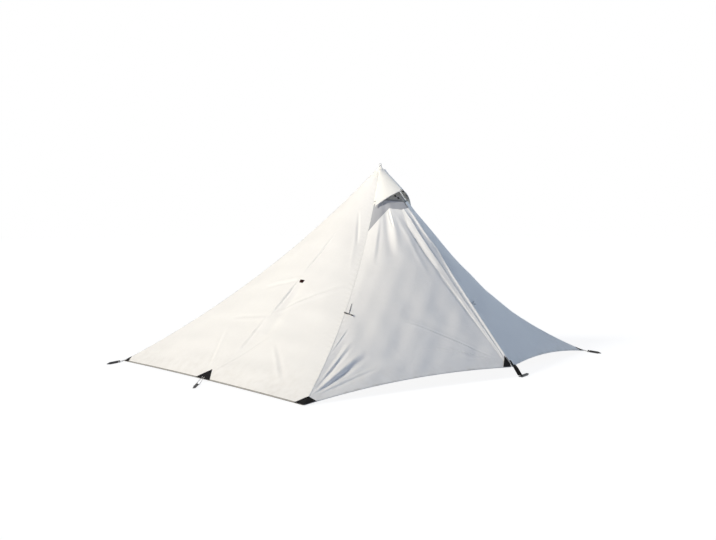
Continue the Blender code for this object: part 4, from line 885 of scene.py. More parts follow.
@dataclass
class Cut:
    """The cut of the fly: its plan, heights and sags, the same as the solids'."""

    base_length: float = 2.6
    base_depth: float = 1.86
    peak_height: float = 1.3
    pole_forward: float = 0.171
    door_reach: float = 0.253
    door_offset: float = 0.1
    door_height: float = 0.063
    hem_height: float = 0.005
    front_sag: float = 0.165
    rear_sag: float = 0.09
    end_bow: float = 0.006
    side_bow: float = 0.03
    hinge_share: float = 0.2
    zip_edge: float = 0.006
    zip_top: float = 0.79
    zip_bottom: float = 0.012
    vent_side: float = 0.855
    vent_middle: float = 0.8
    panel_top: float = 0.962

    def __post_init__(self) -> None:
        """Place the corners and cut the panels."""
        half, deep, low = self.base_length / 2, self.base_depth / 2, self.hem_height
        self.peak = vec(0.0, -self.pole_forward, self.peak_height)
        self.rear_left, self.rear_right, self.front_left, self.front_right = (
            vec(x * half, y * deep, low) for x, y in ((-1, 1), (1, 1), (-1, -1), (1, -1)))
        self.door = vec(self.door_offset, -deep - self.door_reach, self.door_height)
        self.panels = self.cut_panels()

    def cut_panels(self) -> dict[str, Panel]:
        """The five panels of the fly, each seen from outside with its corners left and right."""
        front, rear = self.front_sag, self.rear_sag
        return {
            "left_end": Panel(self.rear_left, self.front_left, self.peak, rear, front,
                              self.end_bow, LEFT_END_FOLDS, 11),
            "front_left": Panel(self.front_left, self.door, self.peak, front, 0.0,
                                self.side_bow, NEAR_FOLDS, 12),
            "front_right": Panel(self.door, self.front_right, self.peak, 0.0, front,
                                 self.side_bow, FIXED_FOLDS, 13, 0.0007),
            "right_end": Panel(self.front_right, self.rear_right, self.peak, front, rear,
                               self.end_bow, RIGHT_END_FOLDS, 14),
            "rear": Panel(self.rear_right, self.rear_left, self.peak, rear, rear,
                          self.side_bow, REAR_FOLDS, 15),
        }

    def vent_edge(self, toward_zip: Array) -> Array:
        """Height share of the vent's lower edge, from the ridge (0) to the zip (1)."""
        return self.vent_side + (self.vent_middle - self.vent_side) * toward_zip

    def front_grid(self, key: str, rows: int, columns: int) -> tuple[Array, Array]:
        """Places over a front panel, from its hem to the vent's edge.

        Args:
            key: Name of the panel.
            rows: Rows up the panel.
            columns: Columns across it.

        Returns:
            The u and the v of each place.
        """
        panel = self.panels[key]
        share, rise = np.meshgrid(np.linspace(0, 1, columns), np.linspace(0, 1, rows))
        u, v = share, rise * self.vent_middle
        for _ in range(8):
            edge = panel.seam_share(self.zip_edge, v)
            u = share * (1 - edge) if key == "front_left" else edge + share * (1 - edge)
            v = self.vent_edge(u if key == "front_left" else 1 - u) * rise
        return u, v

    def zip_way(self) -> Array:
        """Direction up the zip."""
        return unit(self.peak - self.door)

    def zip_length(self) -> float:
        """Length from the door's foot to the peak."""
        return float(np.linalg.norm(self.peak - self.door))

    def zip_out(self) -> Array:
        """Outward direction square to the zip line, in the upright plane through it."""
        fall = self.door - self.peak
        return unit(vec(0.0, fall[2], -fall[1]))

    def zip_place(self, drop: float) -> Array:
        """Point of the zip line at a drop below the peak."""
        return self.peak + (self.door - self.peak) * (drop / (self.peak[2] - self.door[2]))

    def hinge_band(self, reach: float) -> tuple[Array, Array]:
        """Band across the line on which the door hangs.

        Args:
            reach: Distance from the line to each edge of the band.

        Returns:
            A point on its fixed edge and one on the door's.
        """
        foot = self.front_left + (self.door - self.front_left) * self.hinge_share
        rise = unit(self.peak - self.front_left)
        across = self.door - self.front_left
        across = unit(across - rise * (across @ rise))
        return foot - across * reach, foot + across * reach


@dataclass
class Maker:
    """Makes pieces in the tent's finishes, each hiding its solids and moving with its body."""

    cut: Cut
    finishes: Finishes
    hinge_reach: float = 0.014

    def declare(self, piece: Piece, slot: str, body: str, *nodes: str) -> Piece:
        """Hide the solids that a piece stands for and attach it to what it moves with.

        Args:
            piece: The piece.
            slot: Its slot; not used.
            body: Its body, or "hinge" for cloth over the line where the door hangs, which stays in place.
            nodes: Solids that it stands for.

        Returns:
            The piece.
        """
        if nodes:
            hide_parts(*nodes)
        if body == "hinge":
            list(self.cut.hinge_band(self.hinge_reach))
            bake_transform(piece)
        else:
            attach(piece, body)
        LOG.info("%s: %d points", piece.name, len(piece.data.vertices))
        return piece

    def sheet(self, name: str, grid: Array, places: Array, thickness: float, finish: str,
              labels: Labels, sharp: float = 38.0) -> Piece:
        return self.declare(make_sheet(name, grid, places, thickness, self.finishes.made[finish], sharp), *labels)

    def tube(self, name: str, route: Array, radius: float, finish: str, labels: Labels,
             sides: int = 12, taper: Array | None = None) -> Piece:
        return self.declare(make_tube(name, route, radius, self.finishes.made[finish], sides, taper), *labels)

    def ribbon(self, name: str, route: Array, sides: Array, width: float, thickness: float,
               finish: str, labels: Labels) -> Piece:
        return self.declare(make_ribbon(name, route, sides, width, thickness, self.finishes.made[finish]), *labels)

    def cord(self, name: str, route: Array, radius: float, finish: str, node: str, sides: int = 12) -> None:
        """Make a cord between two pieces.

        Args:
            name: Name of the piece.
            route: Points of its middle.
            radius: Its radius.
            finish: Name of its finish.
            node: Solid that it stands for.
            sides: Sides round it.
        """
        piece = self.tube(name, route, radius, finish, ("guy_cord", "root", node), sides)


@dataclass
class Fly(Maker):
    """The sewn panels of the fly with their ridge seams and hems."""

    thickness: float = 0.0009
    seam_half: float = 0.0075
    seam_lift: float = 0.0008
    hem_width: float = 0.014
    hem_lift: float = 0.0007
    front_share: float = 0.96

    def build(self) -> None:
        """Make every panel, seam and hem; the front panels reach up to the vent."""
        for key, node, columns, rows in (("left_end", "fly_left_end", 214, 190),
                                         ("right_end", "fly_right_end", 130, 92), ("rear", "fly_rear", 120, 80)):
            u, v = np.meshgrid(np.linspace(0.0, 1.0, columns), np.linspace(0.0, self.cut.panel_top, rows))
            self.panel(key, u, v, 1.0, (*FLY, node))
        for key, nodes, columns, rows in (("front_left", ("fly_front_left", "fly_door"), 232, 196),
                                          ("front_right", ("fly_front_right",), 120, 110)):
            u, v = self.cut.front_grid(key, rows, columns)
            self.panel(key, u, v, self.front_share, ("fly_cloth", self.body(key), *nodes))
        self.facing()
        self.seams()
        self.hems()

    def body(self, key: str) -> str:
        """Body of a piece that lies over a whole panel; the left front one gets "hinge", for where its door hangs."""
        return "hinge" if key == "front_left" else "root"

    def panel(self, key: str, u: Array, v: Array, share: float, labels: Labels) -> None:
        """Make the cloth of one panel.

        Args:
            key: Name of the panel.
            u: Places across it.
            v: Places up it.
            share: Share of its flat triangle that is cloth.
            labels: Its slot, its body and its solids.
        """
        panel = self.cut.panels[key]
        piece = self.sheet(f"cloth_{key}", panel.at(u, v), panel.cut_uv(u, v), self.thickness,
                           "fly_cloth_white", labels)
        panel.flat_size()
        panel.area() * share

    def facing(self) -> None:
        """Lay a darker grey sheet on the near panel under the vent as painted shade of the hood, and back the vent's
        sides beside both ridges.
        """
        panel = self.cut.panels["front_left"]
        u, share = np.meshgrid(np.linspace(0.004, 0.985, 60), np.linspace(0.0, 1.0, 14))
        low = np.interp(u, (0.0, 0.536, 0.62, 0.72, 0.8, 1.0), (0.735, 0.786, 0.777, 0.772, 0.764, 0.76))
        v = low + (self.cut.vent_edge(u) - 0.0015 - low) * share
        # this darker grey sheet paints the hood's shade onto the panel below the vent
        self.sheet("vent_painted_shade", panel.offset(u, v, 0.001), panel.cut_uv(u, v), 0.0007,
                   "painted_shade_cloth_grey", ("fly_cloth", "hinge"))
        rise, share = np.meshgrid(np.linspace(self.cut.vent_side - 0.012, self.cut.panel_top, 20),
                                  np.linspace(0.0, 1.0, 8), indexing="ij")
        for key in ("front_left", "front_right"):
            panel = self.cut.panels[key]
            reach = np.minimum(panel.seam_share(0.004 + 0.046 * share, rise), 0.62)
            u = reach if key == "front_left" else 1 - reach[:, ::-1]
            self.sheet(f"vent_side_{key}", panel.offset(u, rise, 0.0012), panel.cut_uv(u, rise), 0.0008,
                       "hood_cloth_white", FLY)

    def seams(self) -> None:
        """Lay a felled seam with two rows of stitching over each ridge."""
        for name, left, right, top in (("rear_left", "rear", "left_end", self.cut.panel_top),
                                       ("near_left", "left_end", "front_left", self.cut.vent_side),
                                       ("near_right", "front_right", "right_end", self.cut.vent_side),
                                       ("rear_right", "right_end", "rear", self.cut.panel_top)):
            self.seam(name, self.cut.panels[left], self.cut.panels[right], top)

    def seam(self, name: str, left: Panel, right: Panel, top: float) -> None:
        """Lay one seam over the ridge between two panels.

        Args:
            name: Name of the ridge.
            left: Panel on its left.
            right: Panel on its right.
            top: Height at which that ridge's panels end, as a share.
        """
        rise = np.linspace(0.002, min(top + 0.1, self.cut.panel_top), 150)
        steps = np.linspace(-1.0, 1.0, 9)
        grid = np.zeros((len(rise), len(steps), 3))
        out = -right.inward(right.left)
        for c, step in enumerate(steps):
            panel = left if step < 0 else right
            share = panel.seam_share(abs(step) * self.seam_half, rise)
            u = 1 - share if step < 0 else share
            lift = self.seam_lift * (1.0 - 0.75 * abs(step) ** 4)
            way = out if step == 0 else unit(panel.normal(u, rise) + out * (1 - abs(step)))
            grid[:, c] = panel.at(u, rise) + way * (lift + 0.0004)
        length = float(np.linalg.norm(right.top - right.left))
        self.sheet(f"seam_{name}", grid, flat_places(steps * self.seam_half, rise * length), 0.0008,
                   "seam_cloth_white", FLY, 60.0)

    def hems(self) -> None:
        """Bind the hem of each panel: grey tape at the ends and rear, whose dark tone is painted shade at the hem's
        foot, and white along the front.
        """
        for key in ("left_end", "right_end", "rear", "front_left", "front_right"):
            self.hem(key)

    def hem(self, key: str) -> None:
        """Bind the hem of a panel with a strip that wraps under the cloth's edge.

        Args:
            key: Name of the panel.
        """
        panel = self.cut.panels[key]
        # the grey binding's dark tone is painted shade at the hem's foot
        width, finish = (1.0, "hem_cloth_white") if "front" in key else (0.72, "hem_tape_painted_shade_grey")
        width *= self.hem_width
        edge = self.cut.zip_edge / panel.width()
        columns = np.linspace(edge if key == "front_right" else 0.003,
                              1 - edge if key == "front_left" else 0.997, 150)
        lift, thick = self.hem_lift, self.thickness
        profile = [(width, lift, 0.0), (width * 0.6, lift * 1.3, 0.0), (width * 0.25, lift * 1.3, 0.0),
                   (0.0, lift, -0.0006), (0.0, -thick * 0.5, -0.0014), (0.0, -thick - lift, -0.0006),
                   (width * 0.5, -thick - lift, 0.0)]
        grid = np.zeros((len(profile), len(columns), 3))
        along = columns * panel.width()
        places = np.zeros((len(profile), len(columns), 2))
        travel = 0.0
        for r, (rise, out, drop) in enumerate(reversed(profile)):
            v = np.full(len(columns), panel.rise_share(rise))
            grid[r] = panel.at(columns, v) + panel.normal(columns, v) * out + UP * drop
            if r:
                travel += float(np.linalg.norm(grid[r, 0] - grid[r - 1, 0]))
            places[r] = np.stack([np.full(len(columns), travel), along], axis=-1)
        self.sheet(f"hem_{key}", grid, places, 0.0005, finish, ("fly_cloth", self.body(key)), 70.0)


@dataclass
class DoorZip(Maker):
    """The door's zip: two tapes, two rows of teeth, the storm flap and its keeper loops."""

    tape_width: float = 0.018
    teeth_pitch: float = 0.003
    flap_width: float = 0.093
    flap_rise: tuple[float, ...] = (0.0034, 0.0036, 0.006, 0.009)
    flap_valley: float = 0.0005
    flap_lift: float = 0.0012
    flap_drop: Rows = ((0.04, 0.9), (0.1, 0.56), (0.18, 0.28), (0.3, 0.12), (0.5, 0.04), (0.8, 0.01), (1.0, 0.0))
    flap_crest: Rows = ((0.012, 0.001), (0.009, 0.0026), (0.006, 0.0042), (0.003, 0.0053), (0.0, 0.0057),
                        (-0.0025, 0.0047), (-0.005, 0.0022), (-0.0075, 0.0001), (-0.0095, -0.0006))
    dihedral: float = 0.372
    flap_bottom: float = 0.03
    tooth: Triple = (0.0026, 0.6, 0.0022)
    keeper_at: tuple[float, float] = (0.036, 0.29)
    keeper_length: float = 0.044
    keeper_width: float = 0.012

    def build(self) -> None:
        """Make the tapes, the teeth and the flap."""
        for side in Side:
            self.tape(side)
            self.teeth(side)
        self.flap()
        self.keeper()
        self.finishes.dress_node("zip_slider", "zip_painted")

    def edge_point(self, side: Side, across: float, v: Array, distance: float) -> Array:
        """Points at a distance across from the zip line, under a front panel.

        Args:
            side: Side of the zip.
            across: Distance from the zip line.
            v: Shares of the height.
            distance: Depth under the cloth's outer face.

        Returns:
            The points.
        """
        panel = self.cut.panels["front_left" if side is Side.DOOR else "front_right"]
        share = panel.seam_share(across, v)
        u = 1 - share if side is Side.DOOR else share
        return panel.at(u, v) - panel.inward(self.cut.door) * distance

    def body(self, side: Side) -> str:
        """Body that a side of the zip rides on."""
        return "fly_door" if side is Side.DOOR else "root"

    def tape(self, side: Side) -> None:
        """Make one tape under the cloth's edge.

        Args:
            side: Side of the zip.
        """
        v = np.linspace(self.cut.zip_bottom, self.cut.zip_top - 0.014, 90)
        reach = np.linspace(0.0006, self.tape_width, 6)
        order = reach[::-1] if side is Side.DOOR else reach
        grid = np.stack([self.edge_point(side, r, v, -0.0021) for r in order], axis=1)
        name = side.name.lower()
        self.sheet(f"zip_cloth_{name}", grid, flat_places(order, v * self.cut.zip_length()), 0.0009,
                   "tape_grey", ("zip_tape", self.body(side), f"zip_tape_{name}"))

    def teeth(self, side: Side) -> None:
        """Make one row of teeth: one tooth is modelled and copied up the zip.

        Args:
            side: Side of the zip.
        """
        first, last = self.cut.zip_bottom, self.cut.zip_top - 0.016
        count = int((last - first) * self.cut.zip_length() / self.teeth_pitch)
        v = first + (last - first) * (np.arange(count) + (0.5 if side is Side.DOOR else 0.0)) / count
        select_none()
        bpy.ops.mesh.primitive_cube_add(size=1.0)
        piece = bpy.context.active_object
        piece.name = f"zip_teeth_{side.name.lower()}"
        mode("EDIT")
        bpy.ops.transform.resize(value=(self.tooth[0], self.teeth_pitch * self.tooth[1], self.tooth[2]))
        bpy.ops.transform.translate(value=(0.0015, 0.0, 0.0))
        bpy.ops.mesh.select_all(action="DESELECT")
        mode("OBJECT")
        for edge in piece.data.edges:
            ends = [piece.data.vertices[i].co for i in edge.vertices]
            edge.select = all(end.z > 0.0 for end in ends) and abs(ends[0].x - ends[1].x) < 1e-6
        mode("EDIT")
        bpy.ops.mesh.bevel(offset=0.0007, segments=1)
        mode("OBJECT")
        shape = np.array([vert.co[:] for vert in piece.data.vertices])
        faces = [list(face.vertices) for face in piece.data.polygons]
        base = self.edge_point(side, 0.0, v, -0.001)
        out = unit(self.edge_point(side, 0.003, v, -0.001) - base)
        up = self.cut.zip_way()
        lift = unit(np.cross(out, up)) * (1 if side is Side.FRAME else -1)
        points = (base[:, None] + out[:, None] * shape[None, :, :1] + up * shape[None, :, 1:2]
                  + lift[:, None] * shape[None, :, 2:])
        if side is Side.DOOR:
            faces = [face[::-1] for face in faces]
        every = [[i + len(shape) * t for i in face] for t in range(count) for face in faces]
        piece.data.clear_geometry()
        piece.data.from_pydata(points.reshape(-1, 3).tolist(), [], every)
        piece.data.materials.append(self.finishes.made["teeth_moulded"])
        self.declare(piece, "zip_tape", self.body(side))

    def flap_grid(self, rows: int) -> tuple[Array, Array, Array]:
        """Shape the flap: it rises from its sewn edge to a shoulder, then drops to its doubled edge.

        Args:
            rows: Rows up it.

        Returns:
            The points of its outer face, their flat places and the rows' height shares.
        """
        panel = self.cut.panels["front_left"]
        side = panel.left - panel.right
        side = unit(side - self.cut.zip_way() * (side @ self.cut.zip_way()))
        out = panel.facing()
        v = np.linspace(self.flap_bottom, self.cut.zip_top - 0.022, rows)
        sewn = np.interp(v, (0.03, 0.3, 0.42, 0.55, 0.68, 0.735, 0.768),
                         (0.031, 0.06, 0.073, 0.086, 0.086, 0.07, 0.054))
        shoulder = np.interp(v, (0.03, 0.17, 0.3, 0.45, 0.5, 0.56, 0.64, 0.7, 0.768),
                             (0.02, 0.026, 0.035, 0.039, 0.042, 0.05, 0.052, 0.046, 0.044))
        crest = -np.interp(v, (0.42, 0.464, 0.523, 0.556, 0.604, 0.644), (0.0, 0.0067, 0.0165, 0.0265, 0.01, 0.0))
        rise = np.interp(v, (0.3, 0.42, 0.5, 0.6), self.flap_rise)
        fall = (0.3 + 0.7 * np.clip((v[-1] - v) / 0.05, 0.0, 1.0)) * np.clip((v - 0.02) / 0.035, 0.15, 1.0)
        foot = panel.flat(np.ones(rows), v)
        y = v * self.cut.zip_length()
        wave = 0.0004 * np.sin(y * 41.0) + 0.0004 * np.sin(y * 23.0 + 1.0)
        steps = []
        for t in np.linspace(0.0, 1.0, 13):
            across = sewn + (shoulder - sewn) * t
            sink = (panel.at(1 - panel.seam_share(across, v), v) - foot) @ out
            steps.append((across, rise * t ** 1.5 * fall + self.flap_lift + sink * (across / sewn)
                          + wave * fall * sin(pi * t)))
        ramp = crest + 0.015
        drop = [(shoulder + (ramp - shoulder) * t, rise * g + self.flap_valley * (1 - g)) for t, g in self.flap_drop]
        drop += [(crest + across, self.flap_valley + height * np.ones(rows)) for across, height in self.flap_crest]
        steps += [(across, height * fall + self.flap_lift + self.dihedral * np.minimum(across, 0.0))
                  for across, height in drop]
        columns = [foot + side * across[:, None] + out * lift[:, None] for across, lift in steps]
        flats = [np.stack([-across, y], axis=-1) for across, _ in steps]
        return np.stack(columns, axis=1), np.stack(flats, axis=1), v

    def flap(self) -> None:
        """Make the storm flap with its doubled free edge."""
        grid, places, v = self.flap_grid(150)
        piece = self.sheet("storm_flap_cloth", grid, places, 0.001, "fly_cloth_white",
                           ("fly_cloth", "fly_door", "storm_flap"), 60.0)
        (v[-1] - v[0]) * self.cut.zip_length()

    def keeper(self) -> None:
        """Make the white tab with two small loops that keeps the flap shut."""
        panel = self.cut.panels["front_right"]
        base = panel.offset(*self.keeper_at, 0.0022)
        out, up = panel.normal(*self.keeper_at), self.cut.zip_way()
        side = unit(np.cross(out, up)) * -1.0
        band = np.array([base + side * self.keeper_length * (k / 8 - 0.5) + out * 0.003 * sin(pi * k / 8)
                         for k in range(9)])
        self.ribbon("keeper_tab", band, -up, self.keeper_width, 0.0012, "webbing_white", FLY)
        for k, (tilt, reach) in enumerate(((0.7, 0.016), (-0.5, 0.013))):
            start = base + side * 0.01 + up * (0.004 * (1 if tilt > 0 else -1))
            way = unit(up * tilt + side)
            arch = [start + way * (reach * sin(pi * t / 10))
                    + unit(np.cross(out, way)) * (0.004 * cos(pi * t / 10))
                    + out * (0.006 * sin(pi * t / 10)) for t in range(11)]
            self.tube(f"keeper_loop_{k}", np.array(arch), 0.0016, "webbing_white", FLY, 8)


@dataclass
class Vent(Maker):
    """The peak: its cap and hang loop, the net, the hood with its stiff rim and its prop."""

    hood_crown: float = 0.02
    tip_reach: float = 0.053
    tip_drop: float = 0.171
    corner_x: float = 0.165
    corner_out: float = 0.009
    rim_lift: float = 0.002
    corner_reach: float = 0.126
    corner_drop: float = 0.278
    top_half: float = 0.022
    top_drop: float = 0.028
    hood_thickness: float = 0.0012
    rim_radius: float = 0.0022
    pads_at: Rows = ((0.847, 0.836), (0.905, 0.824))
    cap_rows: int = 26
    cap_spans: int = 16
    cap_start: float = 0.948

    def build(self) -> None:
        """Make every piece at the peak."""
        self.cap()
        self.loop()
        self.net()
        self.hood()
        self.rim()
        self.pads()
        self.finishes.dress_node("hood_prop", "prop_grey")

    def hood_top(self) -> Array:
        """Middle of the hood's upper edge."""
        return self.cut.zip_place(self.top_drop) + self.cut.zip_out() * (self.hood_thickness + 0.0006)

    def hood_tip(self) -> Array:
        """Front point of the hood."""
        return self.cut.zip_place(self.tip_drop) - vec(0.0, self.tip_reach, 0.0)

    def hood_back(self) -> Array:
        """Direction from the hood's outer face to its inner face."""
        fall = self.hood_tip() - self.hood_top()
        return unit(np.array([0.0, -fall[2], fall[1]]))

    def hood_points(self, across: Array, down: Array) -> Array:
        """Points on the hood's outer face.

        Args:
            across: Places from -1 to 1 across it.
            down: Places from 0 to 1 down it.

        Returns:
            The points.
        """
        across, down = np.broadcast_arrays(across, down)
        share = np.abs(across)
        top = self.hood_top() + across[..., None] * vec(self.top_half, 0, 0)
        side = np.where(across < 0, -self.corner_x - self.corner_out, self.corner_x)
        corner = self.cut.peak + side[..., None] * vec(1, 0, 0) - vec(0, self.corner_reach, self.corner_drop)
        edge = self.hood_tip() + (corner - self.hood_tip()) * share[..., None]
        crown = self.hood_crown * np.sin(pi / 2 * down) * share * (1 - share) * 4
        sway = 0.0012 * np.sin(across * 9.0 + 1.0) * np.sin(pi * down) * share
        return top + (edge - top) * down[..., None] - self.hood_back() * (crown + sway)[..., None]

    def hood(self) -> None:
        """Make the hood's cloth."""
        across, down = np.meshgrid(np.linspace(-1, 1, 81), np.linspace(1, 0, 51))
        grid = self.hood_points(across, down)
        drop = (1 - down) * 0.2
        wide = self.top_half + (self.corner_x - self.top_half) * down
        places = np.stack([drop, across * wide * 1.1], axis=-1)
        piece = self.sheet("hood_cloth", grid, places, self.hood_thickness * 0.8, "hood_cloth_white",
                           ("fly_cloth", "vent_hood", "vent_hood"))

    def rim(self) -> None:
        """Bind the hood's lower edge over its stiffener."""
        across = np.linspace(-0.985, 0.985, 90)
        lift = self.rim_lift * np.abs(across) ** 2
        route = self.hood_points(across, np.full(90, 0.992))
        route = route + self.hood_back() * (self.hood_thickness * 0.5 - lift)[:, None]
        self.tube("hood_rim", route, self.rim_radius, "webbing_white", ("fly_cloth", "vent_hood"), 10)

    def pads(self) -> None:
        """Make the dark grip pads: two on the net and one under the hood, where its prop ends."""
        panel = self.cut.panels["front_left"]
        side = vec(1.0, 0.0, 0.0)
        under = self.hood_top() + unit(self.hood_tip() - self.hood_top()) * 0.222
        spots = [("pad_hood", under + self.hood_back() * 0.0024, self.hood_back(), "vent_hood")]
        for k, place in enumerate(self.pads_at):
            spots.append((f"pad_net_{k}", panel.offset(*place, 0.0016), panel.normal(*place), "root"))
        for name, centre, out, body in spots:
            half, width = (0.012, 0.022) if body == "vent_hood" else (0.0065, 0.014)
            route = centre + unit(np.cross(out, side)) * np.linspace(-half, half, 7)[:, None]
            self.ribbon(name, route, side, width, 0.0014, "hook_pad_black", ("patch_webbing", body))

    def net(self) -> None:
        """Make the net of the vent with a taped edge."""
        pieces = []
        for first, key in enumerate(("front_left", "front_right")):
            panel = self.cut.panels[key]
            share, rise = np.meshgrid(np.linspace(0, 1, 28)[first:], np.linspace(0, 1, 24))
            low = self.cut.vent_edge(1 - share if first else share) - 0.006
            v = low + (self.cut.panel_top - low) * rise
            pieces.append((panel.offset(share, v, -0.0006), panel.cut_uv(share, v)))
        grid, places = (np.concatenate(parts, axis=1) for parts in zip(*pieces))
        piece = self.sheet("vent_net", grid, places, 0.0007, "net_olive", ("inner_net", "root", "vent_mesh"))
        route = np.concatenate([
            self.cut.panels[key].offset(u, self.cut.vent_edge(u if key == "front_left" else 1 - u), 0.0006)
            for key, u in (("front_left", np.linspace(0.01, 1.0, 40)),
                           ("front_right", np.linspace(0.0, 0.99, 40)[1:]))])
        self.ribbon("vent_edge_tape", route, -self.cut.zip_way(), 0.01, 0.0008, "tape_grey", ("zip_tape", "root"))

    def cap(self) -> None:
        """Make the five-sided cap over the panels' tops, with a sewn lower edge."""
        rise = np.linspace(self.cap_start, 0.9975, self.cap_rows)
        columns, flats, around = [], [], 0.0 * rise
        for panel in self.cut.panels.values():
            for k in range(self.cap_spans):
                u = k / self.cap_spans
                way = -panel.inward(panel.left) if k == 0 else panel.normal(u, rise)
                columns.append(panel.at(u, rise) + way * 0.0011)
                flats.append(np.stack([panel.cut_height() * (rise - self.cap_start), around], axis=-1))
                around = around + panel.width() * (1 - rise) / self.cap_spans
        columns.append(columns[0])
        flats.append(np.stack([flats[0][:, 0], around], axis=-1))
        self.sheet("cap_cloth", np.stack(columns, axis=1), np.stack(flats, axis=1), 0.0009, "hood_cloth_white",
                   (*FLY, "peak_cap"), 45.0)

    def loop(self) -> None:
        """Make the hang loop of narrow webbing over the peak."""
        top = self.cut.peak
        turns = np.linspace(0.0, pi, 17)
        route = [top + vec(-0.0072, 0.0, -0.012)]
        route += [top + vec(-0.0085 * cos(t), 0.0, 0.001 + 0.0105 * sin(t)) for t in turns]
        route += [top + vec(0.0072, 0.0, -0.012)]
        self.ribbon("hang_loop", smooth_route(route, 2), vec(0.0, 1.0, 0.0), 0.006, 0.0012, "webbing_white", FLY)
        radius = 0.0055
        knob = np.array([(0.0, 0.0055), (0.35, 0.0052), (0.7, 0.004), (1.0, 0.0012)])
        route = top + UP * (0.006 * knob[:, :1] - 0.006)
        self.tube("cap_crown", route, radius, "webbing_white", FLY, 14, knob[:, 1] / radius)


# Panels beside each pegged corner, and the panel of each pegged hem, with the way to its peg.
CORNERS = {"rear_left": ("rear", "left_end", (-0.95, -0.31)), "rear_right": ("right_end", "rear", (1.0, 0.35)),
           "front_right": ("front_right", "right_end", (-0.15, -0.99))}
MIDDLES = {"left_mid": ("left_end", (-0.71, -0.705)), "right_mid": ("right_end", (0.95, -0.3)),
           "rear_mid": ("rear", (0.1, 1.0))}


